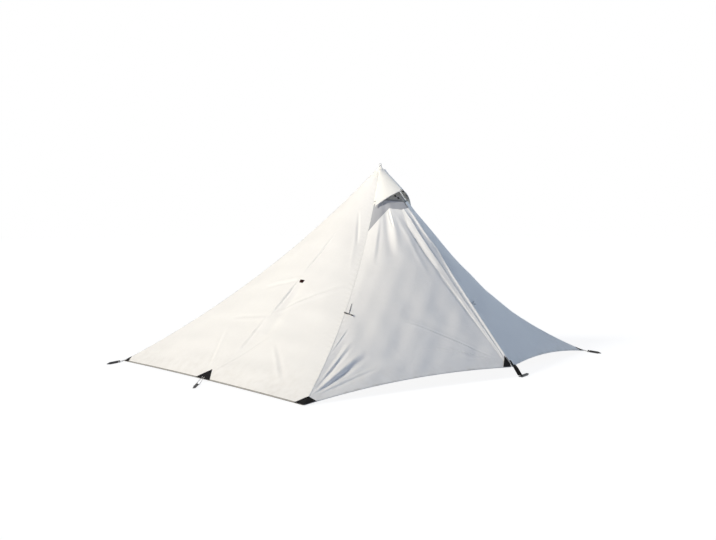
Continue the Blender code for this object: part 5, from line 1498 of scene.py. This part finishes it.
@dataclass
class GroundFittings(Maker):
    """Corner and hem patches, the cord loops, the door's strap and the pegs."""

    loop_radius: float = 0.0015
    loop_spread: float = 0.007
    corner_loop: float = 0.038
    mid_loop: float = 0.13
    peg_fin: float = 0.009
    peg_fin_half: float = 0.001
    peg_neck_fin: float = 0.0048
    peg_head: float = 0.011
    peg_neck: float = 0.008
    gap: float = 0.0003
    patch_lift: float = 0.0011
    patch_thickness: float = 0.001
    strap_width: float = 0.028
    strap_thickness: float = 0.0016
    strap_reach: float = 0.052
    near_patch: float = 0.078
    corner_patches: float = 0.055
    door_patch_reach: float = 0.0587
    door_patch_rise: float = 0.095
    mid_patch_half: float = 0.073
    mid_patch_rise: float = 0.096

    def build_cords(self) -> None:
        """Make the cord loops, which come before everything else."""
        panels = self.cut.panels
        for tag, (left, right, way) in CORNERS.items():
            ends = [self.sewn_end(panels[left], 1.0, -0.013), self.sewn_end(panels[right], 0.0, 0.013)]
            self.peg_loop(tag, ends, panels[right].left, way, (self.corner_loop, 0.012, 0.0015))
        for tag, (key, way) in MIDDLES.items():
            ends = [self.sewn_end(panels[key], 0.5, across) for across in (-0.009, 0.009)]
            self.peg_loop(tag, ends, panels[key].at(0.5, 0.0), way, (self.mid_loop, 0.022, 0.003))

    def build(self) -> None:
        """Make the patches and the strap, and finish the pegs."""
        panels = self.cut.panels
        for tag, (left, right, _) in CORNERS.items():
            self.corner_patch(tag, panels[left], panels[right], self.corner_patches)
        self.corner_patch("front_left", panels["left_end"], panels["front_left"], self.near_patch)
        for tag, (key, _) in MIDDLES.items():
            self.hem_patch(tag, panels[key])
        self.door_patch()
        self.strap()
        for tag in (*CORNERS, *MIDDLES, "door"):
            self.finishes.dress_node(f"peg_{tag}", "peg_anodised")

    def peg_height(self) -> float:
        """Height of a lying peg's middle."""
        return self.peg_fin * 0.5 + self.peg_fin_half * cos(radians(30.0))

    def half_routes(self, starts: list[list[Array]], lead: Array, head: Array, way: Array) -> list[Array]:
        """Route of a pegging loop from one sewn end round the peg's neck to the other.

        Args:
            starts: First points of each half.
            lead: Where the halves come together.
            head: Middle of the peg's head.
            way: Direction of the peg.

        Returns:
            The points of the route.
        """
        side = unit(np.cross(UP, way))
        beside = self.peg_fin + self.loop_radius + self.gap
        neck = self.peg_head + self.peg_neck / 2
        over = self.peg_neck_fin + self.loop_radius + 2 * self.gap
        halves = []
        for start, sign in zip(starts, (1, -1)):
            halves.append([
                *start, lead + side * (sign * self.loop_spread),
                head + side * (sign * beside) - way * 0.004 - UP * 0.0012,
                head + side * (sign * beside) + way * (neck - 0.006) - UP * 0.0004,
                head + side * (sign * beside * 0.78) + way * neck + UP * (over * 0.22),
                head + side * (sign * beside * 0.42) + way * neck + UP * (over * 0.8)])
        return halves[0] + [head + way * neck + UP * over] + halves[1][::-1]

    def sewn_end(self, panel: Panel, u: float, across: float) -> list[Array]:
        """First two points of a loop's half: on the patch and just above the hem.

        Args:
            panel: Panel that carries it.
            u: Share of the hem.
            across: Distance of this half from the middle.

        Returns:
            The two points.
        """
        height = self.patch_lift + self.patch_thickness + self.loop_radius + self.gap
        places = []
        for rise, lift in ((0.016, 0.0), (0.004, 0.001)):
            v = panel.rise_share(rise)
            places.append(panel.offset(u + panel.seam_share(across, v), v, height + lift))
        return places

    def peg_loop(self, tag: str, ends: list[list[Array]], foot: Array, way: tuple[float, float],
                 sizes: Triple) -> None:
        """Make a cord loop from its two sewn ends to its peg.

        Args:
            tag: Name of its place.
            ends: First two points of each half.
            foot: Point of the hem that it leaves.
            way: Level direction towards the peg.
            sizes: Length to the peg's head, then where its halves meet: ahead of the foot and above it.
        """
        way = unit(vec(*way, 0.0))
        if (ends[1][0] - ends[0][0]) @ np.cross(UP, way) > 0:
            ends = ends[::-1]
        length, ahead, rise = sizes
        head = foot + way * length
        head[2] = self.peg_height()
        points = self.half_routes(ends, foot + UP * rise + way * ahead, head, way)
        self.cord(f"cord_{tag}", smooth_route(points, 8), self.loop_radius, "cord_pale", f"loop_{tag}")

    def patch(self, tag: str, grid: Array, places: Array, thickness: float, labels: Labels) -> None:
        """Make a patch; labels are its body and its solid."""
        self.sheet(f"patch_cloth_{tag}", grid, places, thickness, "patch_black", ("patch_webbing", *labels), 60.0)

    def corner_patch(self, tag: str, left_panel: Panel, right_panel: Panel, width: float) -> None:
        """Make a kite-shaped patch folded over a ridge's foot.

        Args:
            tag: Name of its place.
            left_panel: Panel to the left of the ridge.
            right_panel: Panel to the right of it.
            width: Length of its sides.
        """
        rows, half = 17, 12
        base = left_panel.rise_share(0.0015)
        grid = np.zeros((rows, 2 * half + 1, 3))
        places = np.zeros((rows, 2 * half + 1, 2))
        for r in range(rows):
            share = r / (rows - 1)
            v = base + left_panel.rise_share(width) * share
            for k in range(-half, half + 1):
                panel = left_panel if k < 0 else right_panel
                reach = panel.seam_share(width * (1 - share) * abs(k) / half, v)
                u = 1 - reach if k < 0 else reach
                ridge = -right_panel.inward(right_panel.left)
                blend = max(0.0, 1 - abs(k) / 2) if share < 1.0 else 1.0
                way = unit(panel.normal(u, v) * (1 - blend) + ridge * blend)
                lift = self.patch_lift + 0.0006 + 0.0006 * blend
                grid[r, k + half] = panel.at(u, v) + way * lift
                places[r, k + half] = (width * (1 - share) * k / half, width * share)
        self.patch(tag, grid, places, 0.0011, ("root", f"patch_{tag}"))

    def hem_patch(self, tag: str, panel: Panel) -> None:
        """Make the three-sided patch at the middle of a hem.

        Args:
            tag: Name of the place.
            panel: Panel that carries it.
        """
        share, step = np.meshgrid(np.linspace(0, 1, 15), np.linspace(-1, 1, 25), indexing="ij")
        v = panel.rise_share(0.0015) + panel.rise_share(self.mid_patch_rise) * share
        across = self.mid_patch_half * (1 - share) * step
        places = np.stack([across, share * self.mid_patch_rise], axis=-1)
        grid = panel.offset(0.5 + panel.seam_share(across, v), v, 0.0014)
        self.patch(tag, grid, places, self.patch_thickness, ("root", f"patch_{tag}"))

    def door_patch(self) -> None:
        """Make the patch at the door's lower corner, beside the zip."""
        panel = self.cut.panels["front_left"]
        share, step = np.meshgrid(np.linspace(0, 1, 17), np.linspace(1, 0, 13), indexing="ij")
        v = panel.rise_share(0.0015) + panel.rise_share(self.door_patch_rise) * share
        across = 0.007 + self.door_patch_reach * (1 - share) * step
        places = np.stack([-across, share * self.door_patch_rise], axis=-1)
        over = 0.0034 + 0.0034 * np.clip(1 - across / 0.06, 0.0, 1.0)
        grid = panel.at(1 - panel.seam_share(across, v), v) + panel.facing() * over[..., None]
        self.patch("door", grid, places, self.patch_thickness, ("fly_door", "door_patch"))

    def strap(self) -> None:
        """Make the door's webbing strap, which turns as it falls, and its loop on the peg."""
        panel = self.cut.panels["front_right"]
        leave = unit(vec(0.71, -0.7, 0.0))
        way = unit(vec(0.98, 0.2, 0.0))
        side = unit(panel.left - panel.right)
        turned = unit(vec(-0.59, 0.81, 0.0))
        middle = self.strap_width / 2 + self.cut.zip_edge + 2 * self.gap
        sewn, edge = (panel.offset(panel.seam_share(middle, rise), rise, lift)
                      for rise, lift in ((0.026, 0.0014), (0.006, 0.0018)))
        place = self.cut.door + leave * self.strap_reach
        head = vec(place[0], place[1], self.peg_height())
        end = head - way * 0.006 + UP * 0.0075
        over = edge + unit(leave * 0.3 + np.cross(UP, side)) * 0.012 - UP * 0.005
        steps = 12
        route = smooth_route([sewn, edge, over, end], steps)
        share = np.clip((np.arange(len(route)) / steps - 1.5) / 1.25, 0.0, 1.0)[:, None]
        sides = unit(side + (turned - side) * share * share * (3 - 2 * share))
        lift = unit(np.cross(sides, unit(np.gradient(route, axis=0))))
        self.ribbon("strap_band", route + lift * self.strap_thickness, sides, self.strap_width,
                    self.strap_thickness, "webbing_black", ("patch_webbing", "root", "door_strap"))
        fall = unit(end - over)
        start = end - fall * 0.005 + np.cross(turned, fall) * (self.strap_thickness / 2)
        spread = unit(np.cross(UP, way)) * (self.loop_spread * 0.6)
        points = self.half_routes([[start + spread], [start - spread]], head - way * 0.007 + UP * 0.004, head, way)
        self.tube("strap_loop", smooth_route(points, 6), self.loop_radius, "webbing_black",
                  ("patch_webbing", "root"), 10)


@dataclass
class TieOuts(Maker):
    """Pull-out tabs part-way up the panels and the tie-back of the rolled door."""

    across: float = 0.569
    height: float = 0.468
    tie_height: float = 0.424
    tie_across: float = 0.046
    tie_drop: float = 0.092
    toggle_length: float = 0.06
    toggle_radius: float = 0.0045
    toggle_turn: float = 0.38
    rings: Rows = ((-0.49, 0.8), (-0.46, 0.98), (-0.3, 1.0), (-0.12, 0.78), (0.0, 0.62), (0.12, 0.78),
                   (0.3, 1.0), (0.46, 0.98), (0.49, 0.8), (0.5, 0.55))
    tab_rise: float = 0.026
    tab_width: float = 0.03
    tab_spread: float = 0.01

    def build(self) -> None:
        """Make the three tabs and the tie-back."""
        for tag, key, u in (("left", "left_end", self.across), ("right", "right_end", 1 - self.across),
                            ("rear", "rear", 0.5)):
            self.tab(tag, self.cut.panels[key], u)
        self.tie_back()

    def tab(self, tag: str, panel: Panel, u: float) -> None:
        """Make one tab: a backing plate and a standing loop of webbing.

        Args:
            tag: Name of the place.
            panel: Panel that carries it.
            u: Share of the panel's width.
        """
        share, step = np.meshgrid(np.linspace(0, 1, 9), np.linspace(-0.5, 0.5, 13), indexing="ij")
        v = self.height + panel.rise_share(self.tab_rise) * (share - 0.5)
        wide = (self.tab_width + self.tab_spread * share) * step
        self.sheet(f"tab_plate_{tag}", panel.offset(u + panel.seam_share(wide, v), v, 0.0022),
                   np.stack([wide, share * self.tab_rise], axis=-1), 0.0014, "tab_dark",
                   ("patch_webbing", "root", f"pullout_{tag}"), 60.0)
        middle = (u, self.height)
        out = panel.normal(*middle)
        side = panel.right - panel.left
        side = unit(side - out * (side @ out))
        up = np.cross(out, side)
        foot = panel.offset(*middle, 0.002)
        turns = np.linspace(0, pi, 15)
        arch = np.array([foot + up * (0.0085 * cos(t)) + out * (0.011 * sin(t)) for t in turns])
        self.ribbon(f"tab_loop_{tag}", arch, -side, 0.012, 0.0014, "tab_dark", ("patch_webbing", "root"))

    def tie_back(self) -> None:
        """Make the toggle and the string that hold the open door."""
        panel = self.cut.panels["front_left"]
        top = self.tie_height
        low = top - panel.rise_share(self.tie_drop)
        place = self.tie_across
        height = 0.0011 + self.toggle_radius
        centre = panel.offset(place, low, height)
        along = unit(panel.offset(place + 0.01, low - 0.01 * self.toggle_turn, height) - centre)
        select_none()
        bpy.ops.mesh.primitive_circle_add(vertices=18, radius=self.toggle_radius * 0.55, fill_type="NGON",
                                          location=tuple(centre - along * (self.toggle_length / 2)),
                                          rotation=Vector(along).to_track_quat("Z", "Y").to_euler())
        rod = bpy.context.active_object
        rod.name = "tie_toggle"
        bpy.ops.object.transform_apply(location=True, rotation=True, scale=True)
        mode("EDIT")
        at, wide = -0.5, 0.55
        for share, ring in self.rings:
            step = Vector(along) * (self.toggle_length * (share - at))
            bpy.ops.mesh.extrude_region_move(TRANSFORM_OT_translate={"value": step})
            middle = centre + along * (self.toggle_length * share)
            bpy.ops.transform.resize(value=(ring / wide,) * 3, center_override=tuple(middle))
            at, wide = share, ring
        bpy.ops.mesh.select_all(action="SELECT")
        bpy.ops.mesh.normals_make_consistent(inside=False)
        mode("OBJECT")
        bpy.ops.object.shade_smooth_by_angle(angle=radians(45.0))
        rod.data.materials.append(self.finishes.made["toggle_moulded"])
        self.declare(rod, "guy_cord", "root", "tieback_toggle")
        self.tube("tie_string", panel.offset(place, np.linspace(top, low, 14), 0.0026), 0.0013, "cord_dark",
                  ("guy_cord", "root"), 8)


@dataclass
class InnerTent(Maker):
    """The half inner: its tub, net walls, door with zip, hook and corner elastics."""

    length: float = 2.1
    front: float = -0.1
    rear: float = 0.76
    tub_height: float = 0.12
    lean: float = 0.012
    peak_height: float = 1.02
    gap: float = 0.0003
    wall: float = 0.001
    wall_top: float = 0.985
    hook_radius: float = 0.002
    elastic_radius: float = 0.0015
    corner_radius: float = 0.02
    around: int = 160
    net: float = 0.0007

    def corner(self, x_sign: int, y_sign: int, height: float) -> Array:
        """Corner of the tub at a height; the walls lean in.

        Args:
            x_sign: -1 for left, 1 for right.
            y_sign: -1 for front, 1 for rear.
            height: Height in metres.

        Returns:
            The corner.
        """
        lean = self.lean * height / self.tub_height
        y = self.rear - lean if y_sign > 0 else self.front + lean
        return vec(x_sign * (self.length / 2 - lean), y, height)

    def peak(self) -> Array:
        """Top of the inner tent."""
        return vec(0.0, self.front + self.lean, self.peak_height)

    def build_cords(self) -> None:
        """Make the hook's cord and the four elastics."""
        self.hook()
        self.elastics()

    def build(self) -> None:
        """Make the tub, the walls and the door."""
        self.tub()
        self.walls()
        self.front_wall()
        self.finishes.dress_node("inner_slider", "zip_painted")

    def outline(self) -> tuple[Array, Array, Array]:
        """Corners of the front wall: left, right and top."""
        top, right = self.peak(), self.corner(1, -1, self.tub_height)
        slope = atan2(top[2] - right[2], right[0] - top[0])
        inset = self.wall + self.gap
        right = right + vec(-inset / sin(slope) - self.gap / tan(slope), 0, self.gap)
        return right * vec(-1, 1, 1), right, top - UP * (inset / cos(slope))

    def door_outline(self, grow: float = 0.0) -> tuple[Array, Array, Array]:
        """Corners of the inner door: lower left, lower right and top.

        Args:
            grow: Distance by which each side lies further out.

        Returns:
            The corners.
        """
        _, right, top = self.outline()
        slope = atan2(top[2] - right[2], right[0] - top[0])
        margin = 0.06 - grow
        x, z = top[0] + 0.06 - grow, right[2] + 0.04 - grow
        low_right = right[0] - (z - right[2]) / tan(slope) - margin / sin(slope)
        high = top[2] - (x - top[0]) * tan(slope) - margin / cos(slope)
        return vec(x, top[1], z), vec(low_right, top[1], z), vec(x, top[1], high)

    def hook(self) -> None:
        """Make the cord that hangs the inner from the fly."""
        _, _, top = self.outline()
        start = top + vec(0.0, self.wall / 2, self.gap)
        rear = self.cut.panels["rear"]
        end = rear.offset(0.5, 0.9, -(0.0015 + self.hook_radius * 0.75 + 2 * self.gap))
        middle = start + (end - start) * 0.5 + vec(0.0, -0.004, 0.0)
        self.cord("hook_cord", smooth_route([start, middle, end], 14), self.hook_radius, "cord_elastic", "inner_hook")

    def elastics(self) -> None:
        """Make the shock cords from the tub's corners to the fly."""
        left, right = self.cut.panels["left_end"], self.cut.panels["right_end"]
        inside = 0.0015 + self.elastic_radius * 1.2 + 2 * self.gap
        share = left.rise_share(0.03)
        ends = {
            "front_left": (-1, -1, left.offset(0.5, share, -inside)),
            "front_right": (1, -1, right.offset(0.5, share, -inside)),
            "rear_left": (-1, 1, left.at(0.0, share) + left.inward(left.left) * (inside * 1.5)),
            "rear_right": (1, 1, right.at(1.0, share) + right.inward(right.right) * (inside * 1.5)),
        }
        for name, (x_sign, y_sign, end) in ends.items():
            corner = self.corner(x_sign, y_sign, 0.035)
            start = corner + unit(end - corner) * (self.gap + self.elastic_radius * 0.6)
            route = smooth_route([start, start + (end - start) * 0.5 - UP * 0.003, end], 12)
            self.cord(f"elastic_cord_{name}", route, self.elastic_radius, "cord_elastic", f"elastic_{name}", 10)

    def tub(self) -> None:
        """Make the floor with its four standing sides as one sheet with rounded corners."""
        half = self.length / 2
        middle = (self.front + self.rear) / 2
        deep = (self.rear - self.front) / 2
        rings = [(share, 0.0) for share in (0.0, 0.5, 0.8, 0.93, 0.985)]
        rings += [(1.0, self.tub_height * k / 8) for k in range(9)]
        around, radius = self.around, self.corner_radius
        straight = 4 * (half + deep)
        grid, places = [], []
        for share, height in rings:
            lean = self.lean * height / self.tub_height
            ring, flat = [], []
            for k in range(around + 1):
                t = (k % around) / around * 4
                side, s = int(t), (t - int(t)) * 2 - 1
                hx, hy = half - lean, deep - lean
                x, y = [(s * hx, -hy), (hx, s * hy), (-s * hx, hy), (-hx, -s * hy)][side]
                over = max(0.0, abs(x) - (hx - radius)) + max(0.0, abs(y) - (hy - radius)) - radius
                if over > 0.0:
                    x -= copysign(over * 0.3, x)
                    y -= copysign(over * 0.3, y)
                sway = 0.0012 * sin(k * 0.9) * (height / self.tub_height)
                ring.append([x * share, middle + y * share + sway * 0.3,
                             max(height, 0.0004 + (0.0012 if share < 1.0 else 0.0))])
                flat.append([k / around * straight, share * 0.4 + height])
            grid.append(ring)
            places.append(flat)
        piece = self.sheet("tub_cloth", np.array(grid), np.array(places), 0.0, "tub_cloth_grey",
                           ("tub_cloth", "root", "tub_floor"))

    def wall_panels(self) -> dict[str, Panel]:
        """The sloping net walls, seen from outside."""
        height = self.tub_height + self.gap
        corners = [self.corner(x, y, height) for x, y in ((-1, 1), (-1, -1), (1, -1), (1, 1))]
        return {name: Panel(corners[left], corners[right], self.peak(), seed=seed, ripple=0.0006, pucker=0.0002)
                for name, left, right, seed in (("left", 0, 1, 21), ("right", 2, 3, 22), ("rear", 3, 0, 23))}

    def walls(self) -> None:
        """Make the two end walls and the rear wall, with taped edges."""
        for name, panel in self.wall_panels().items():
            u, v = np.meshgrid(np.linspace(0, 1, 40), np.linspace(0.0003, self.wall_top, 40))
            piece = self.sheet(f"net_{name}", panel.at(u, v), panel.cut_uv(u, v), self.net, "net_inner",
                               ("inner_net", "root", f"inner_{name}"))
            panel.flat_size()
            panel.area()
            route = panel.at(np.linspace(0.004, 0.996, 60), 0.006) + panel.facing() * 0.0006
            down = unit(panel.flat(*vec(0.5, 0.0)) - panel.top)
            self.ribbon(f"net_edge_{name}", route, down, 0.012, 0.0008, "tape_grey", ("zip_tape", "root"))

    def net_polygon(self, name: str, corners: list[Array], faces: list[list[int]], node: str, body: str) -> Piece:
        """Make a flat net piece from corners, cut finely.

        Args:
            name: Name of the piece.
            corners: Corners, seen from the front.
            faces: Corners of each face, anticlockwise from the front.
            node: Solid that it stands for.
            body: Body that it rides on.

        Returns:
            The piece.
        """
        mesh = bpy.data.meshes.new(name)
        mesh.from_pydata([c.tolist() for c in corners], [], faces)
        piece = link_mesh(name, mesh, self.finishes.made["net_inner"])
        only(piece)
        mode("EDIT")
        bpy.ops.mesh.select_all(action="SELECT")
        bpy.ops.mesh.subdivide(number_cuts=9)
        mode("OBJECT")
        layer = mesh.uv_layers.new(name="cut")
        for loop in mesh.loops:
            co = mesh.vertices[loop.vertex_index].co
            layer.data[loop.index].uv = (co.x, co.z)
        thicken(piece, self.net)
        return self.declare(piece, "inner_net", body, node)

    def front_wall(self) -> None:
        """Make the upright front wall, its door and the tapes round the opening."""
        outer = list(self.outline())
        hole = list(self.door_outline(0.0004))
        wall = self.net_polygon("net_front", outer + hole, [[0, 1, 4, 3], [1, 2, 5, 4], [2, 0, 3, 5]],
                                "inner_front", "root")
        low, right, high = self.door_outline()
        way = unit(high - right) * 0.006
        points = [low, right + unit(low - right) * 0.006, right + way, high - way, high + unit(low - high) * 0.006]
        leaf = self.net_polygon("net_door", points, [[0, 1, 2, 3, 4]], "inner_door", "inner_door")
        for name, start, end, body, shift in (("door_tape_side", low, high, "inner_door", (0.006, 0.0)),
                                              ("door_tape_foot", low, right, "inner_door", (0.0, 0.006)),
                                              ("wall_tape_side", low, high, "root", (-0.0065, 0.0)),
                                              ("wall_tape_foot", low, right, "root", (0.0, -0.0065))):
            ahead = unit(end - start)
            move = vec(shift[0], -0.0006, shift[1])
            trim = 0.02 if body == "inner_door" else 0.004
            length = np.linalg.norm(end - start)
            route = start + move + ahead * np.linspace(0.004, length - trim, 31)[:, None]
            self.ribbon(name, route, np.cross(vec(0.0, -1.0, 0.0), ahead), 0.01, 0.0006, "tape_grey",
                        ("zip_tape", body))


@dataclass
class Pole(Maker):
    """The trekking pole in the peak: its shafts, locks and grip keep their solids."""

    def build(self) -> None:
        """Give each part its finish."""
        for finish, nodes in (("pole_anodised", ("pole_lower", "pole_mid", "pole_upper")),
                              ("lock_moulded", ("lock_collar_mid", "lock_collar_upper", "lock_lever_mid",
                                                "lock_lever_upper")),
                              ("grip_foam_black", ("pole_grip",))):
            for node in nodes:
                self.finishes.dress_node(node, finish)


@dataclass(frozen=True)
class Lamp:
    """One broad distant lamp: the direction towards it, its strength, its breadth in degrees, its colour."""

    name: str
    way: Triple
    strength: float
    angle: float
    colour: Triple

    def build(self) -> None:
        """Hang the lamp."""
        data = bpy.data.lights.new(self.name, "SUN")
        data.energy = self.strength
        data.angle = radians(self.angle)
        data.color = self.colour
        made = bpy.data.objects.new(self.name, data)
        made.rotation_mode = "QUATERNION"
        made.rotation_quaternion = (-Vector(self.way)).to_track_quat("-Z", "Y")
        link(made)


@dataclass
class Studio:
    """Camera, floor, world and lamps: a key from the left, a cool fill from the right, a weak front."""

    lens: float = 42.4
    pitch: float = 86.6159
    turn: float = -43.4582
    place: Triple = (-3.989, -4.1649, 0.9356)
    floor_radius: float = 40.0
    floor_colour: Triple = (0.46, 0.49, 0.54)
    floor_glow: float = 1.31
    glow_share: float = 0.7
    sky_colour: Triple = (0.3, 0.5, 1.0)
    sky_strength: float = 0.15
    spot_place: Triple = (-4.2, -4.4, 0.8)
    spot_aim: Triple = (-0.02, -0.36, 1.075)
    spot_power: float = 580.0
    spot_angle: float = 4.9
    spot_radius: float = 0.25
    spot_colour: Triple = (1.0, 0.97, 0.9)
    distant: tuple[Lamp, ...] = (
        Lamp("key", (-0.84, 0.22, 0.5), 3.32, 8.0, (1.0, 0.93, 0.79)),
        Lamp("fill", (0.95, -0.22, 0.26), 0.98, 50.0, (0.72, 0.89, 1.0)),
        Lamp("front", (-0.5, -0.86, 0.05), 0.68, 30.0, (0.88, 0.9, 1.0)))

    def camera(self) -> None:
        """Stand the camera at the photograph's viewpoint."""
        data = bpy.data.cameras.new("camera")
        data.lens = self.lens
        data.sensor_width = 36.0
        data.clip_end = 100.0
        made = bpy.data.objects.new("camera", data)
        made.location = self.place
        made.rotation_euler = (radians(self.pitch), 0.0, radians(self.turn))
        link(made)
        bpy.context.scene.camera = made

    def floor(self) -> None:
        """Lay the pale floor, which keeps the tent's shadow."""
        select_none()
        bpy.ops.mesh.primitive_circle_add(vertices=96, radius=self.floor_radius, fill_type="NGON",
                                          location=(0, 0, -0.0005))
        made = bpy.context.active_object
        made.name = "floor"
        graph = Surface("floor_pale", self.floor_colour, 1.0)
        graph.shade("Specular IOR Level", 0.0)
        glow = graph.node("ShaderNodeEmission", {"Color": WHITE, "Strength": self.floor_glow})
        graph.blend(graph.times(graph.seen_rays(), self.glow_share), graph.shader, glow, "Material Output")
        made.data.materials.append(graph.material)

    def world(self) -> None:
        """Light the scene softly all round, and show white behind the tent."""
        made = bpy.data.worlds.new("studio")
        bpy.context.scene.world = made
        made.use_nodes = True
        graph = Graph(made.node_tree)
        soft, white = (graph.node("ShaderNodeBackground", {"Color": colour, "Strength": strength})
                       for colour, strength in ((self.sky_colour, self.sky_strength), (WHITE, 1.0)))
        graph.blend(graph.seen_rays(), soft, white, "World Output")

    def peak_spot(self) -> None:
        """Lift the shade under the peak's hood with a narrow soft spot from beside the camera."""
        data = bpy.data.lights.new("peak_spot", "SPOT")
        data.energy = self.spot_power
        data.spot_size = radians(self.spot_angle)
        data.spot_blend = 1.0
        data.shadow_soft_size = self.spot_radius
        data.color = self.spot_colour
        made = bpy.data.objects.new("peak_spot", data)
        made.location = self.spot_place
        made.rotation_euler = (Vector(self.spot_aim) - made.location).to_track_quat("-Z", "Y").to_euler()
        link(made)

    def lamps(self) -> None:
        """Hang every lamp."""
        for lamp in self.distant:
            lamp.build()
        self.peak_spot()
        bpy.context.scene.view_settings.view_transform = "Standard"


def main() -> None:
    """Build the tent in order and report each part."""
    logging.basicConfig(level=logging.INFO, format="%(message)s")
    studio = Studio()
    studio.camera()
    finishes = Finishes()
    cut = Cut()
    fittings = GroundFittings(cut, finishes)
    inner = InnerTent(cut, finishes)
    fittings.build_cords()
    inner.build_cords()
    for part in (Fly(cut, finishes), DoorZip(cut, finishes), Vent(cut, finishes), fittings,
                 TieOuts(cut, finishes), inner, Pole(cut, finishes)):
        part.build()
        LOG.info("built %s", type(part).__name__)
    studio.floor()
    studio.world()
    studio.lamps()


if __name__ == "__main__":
    main()
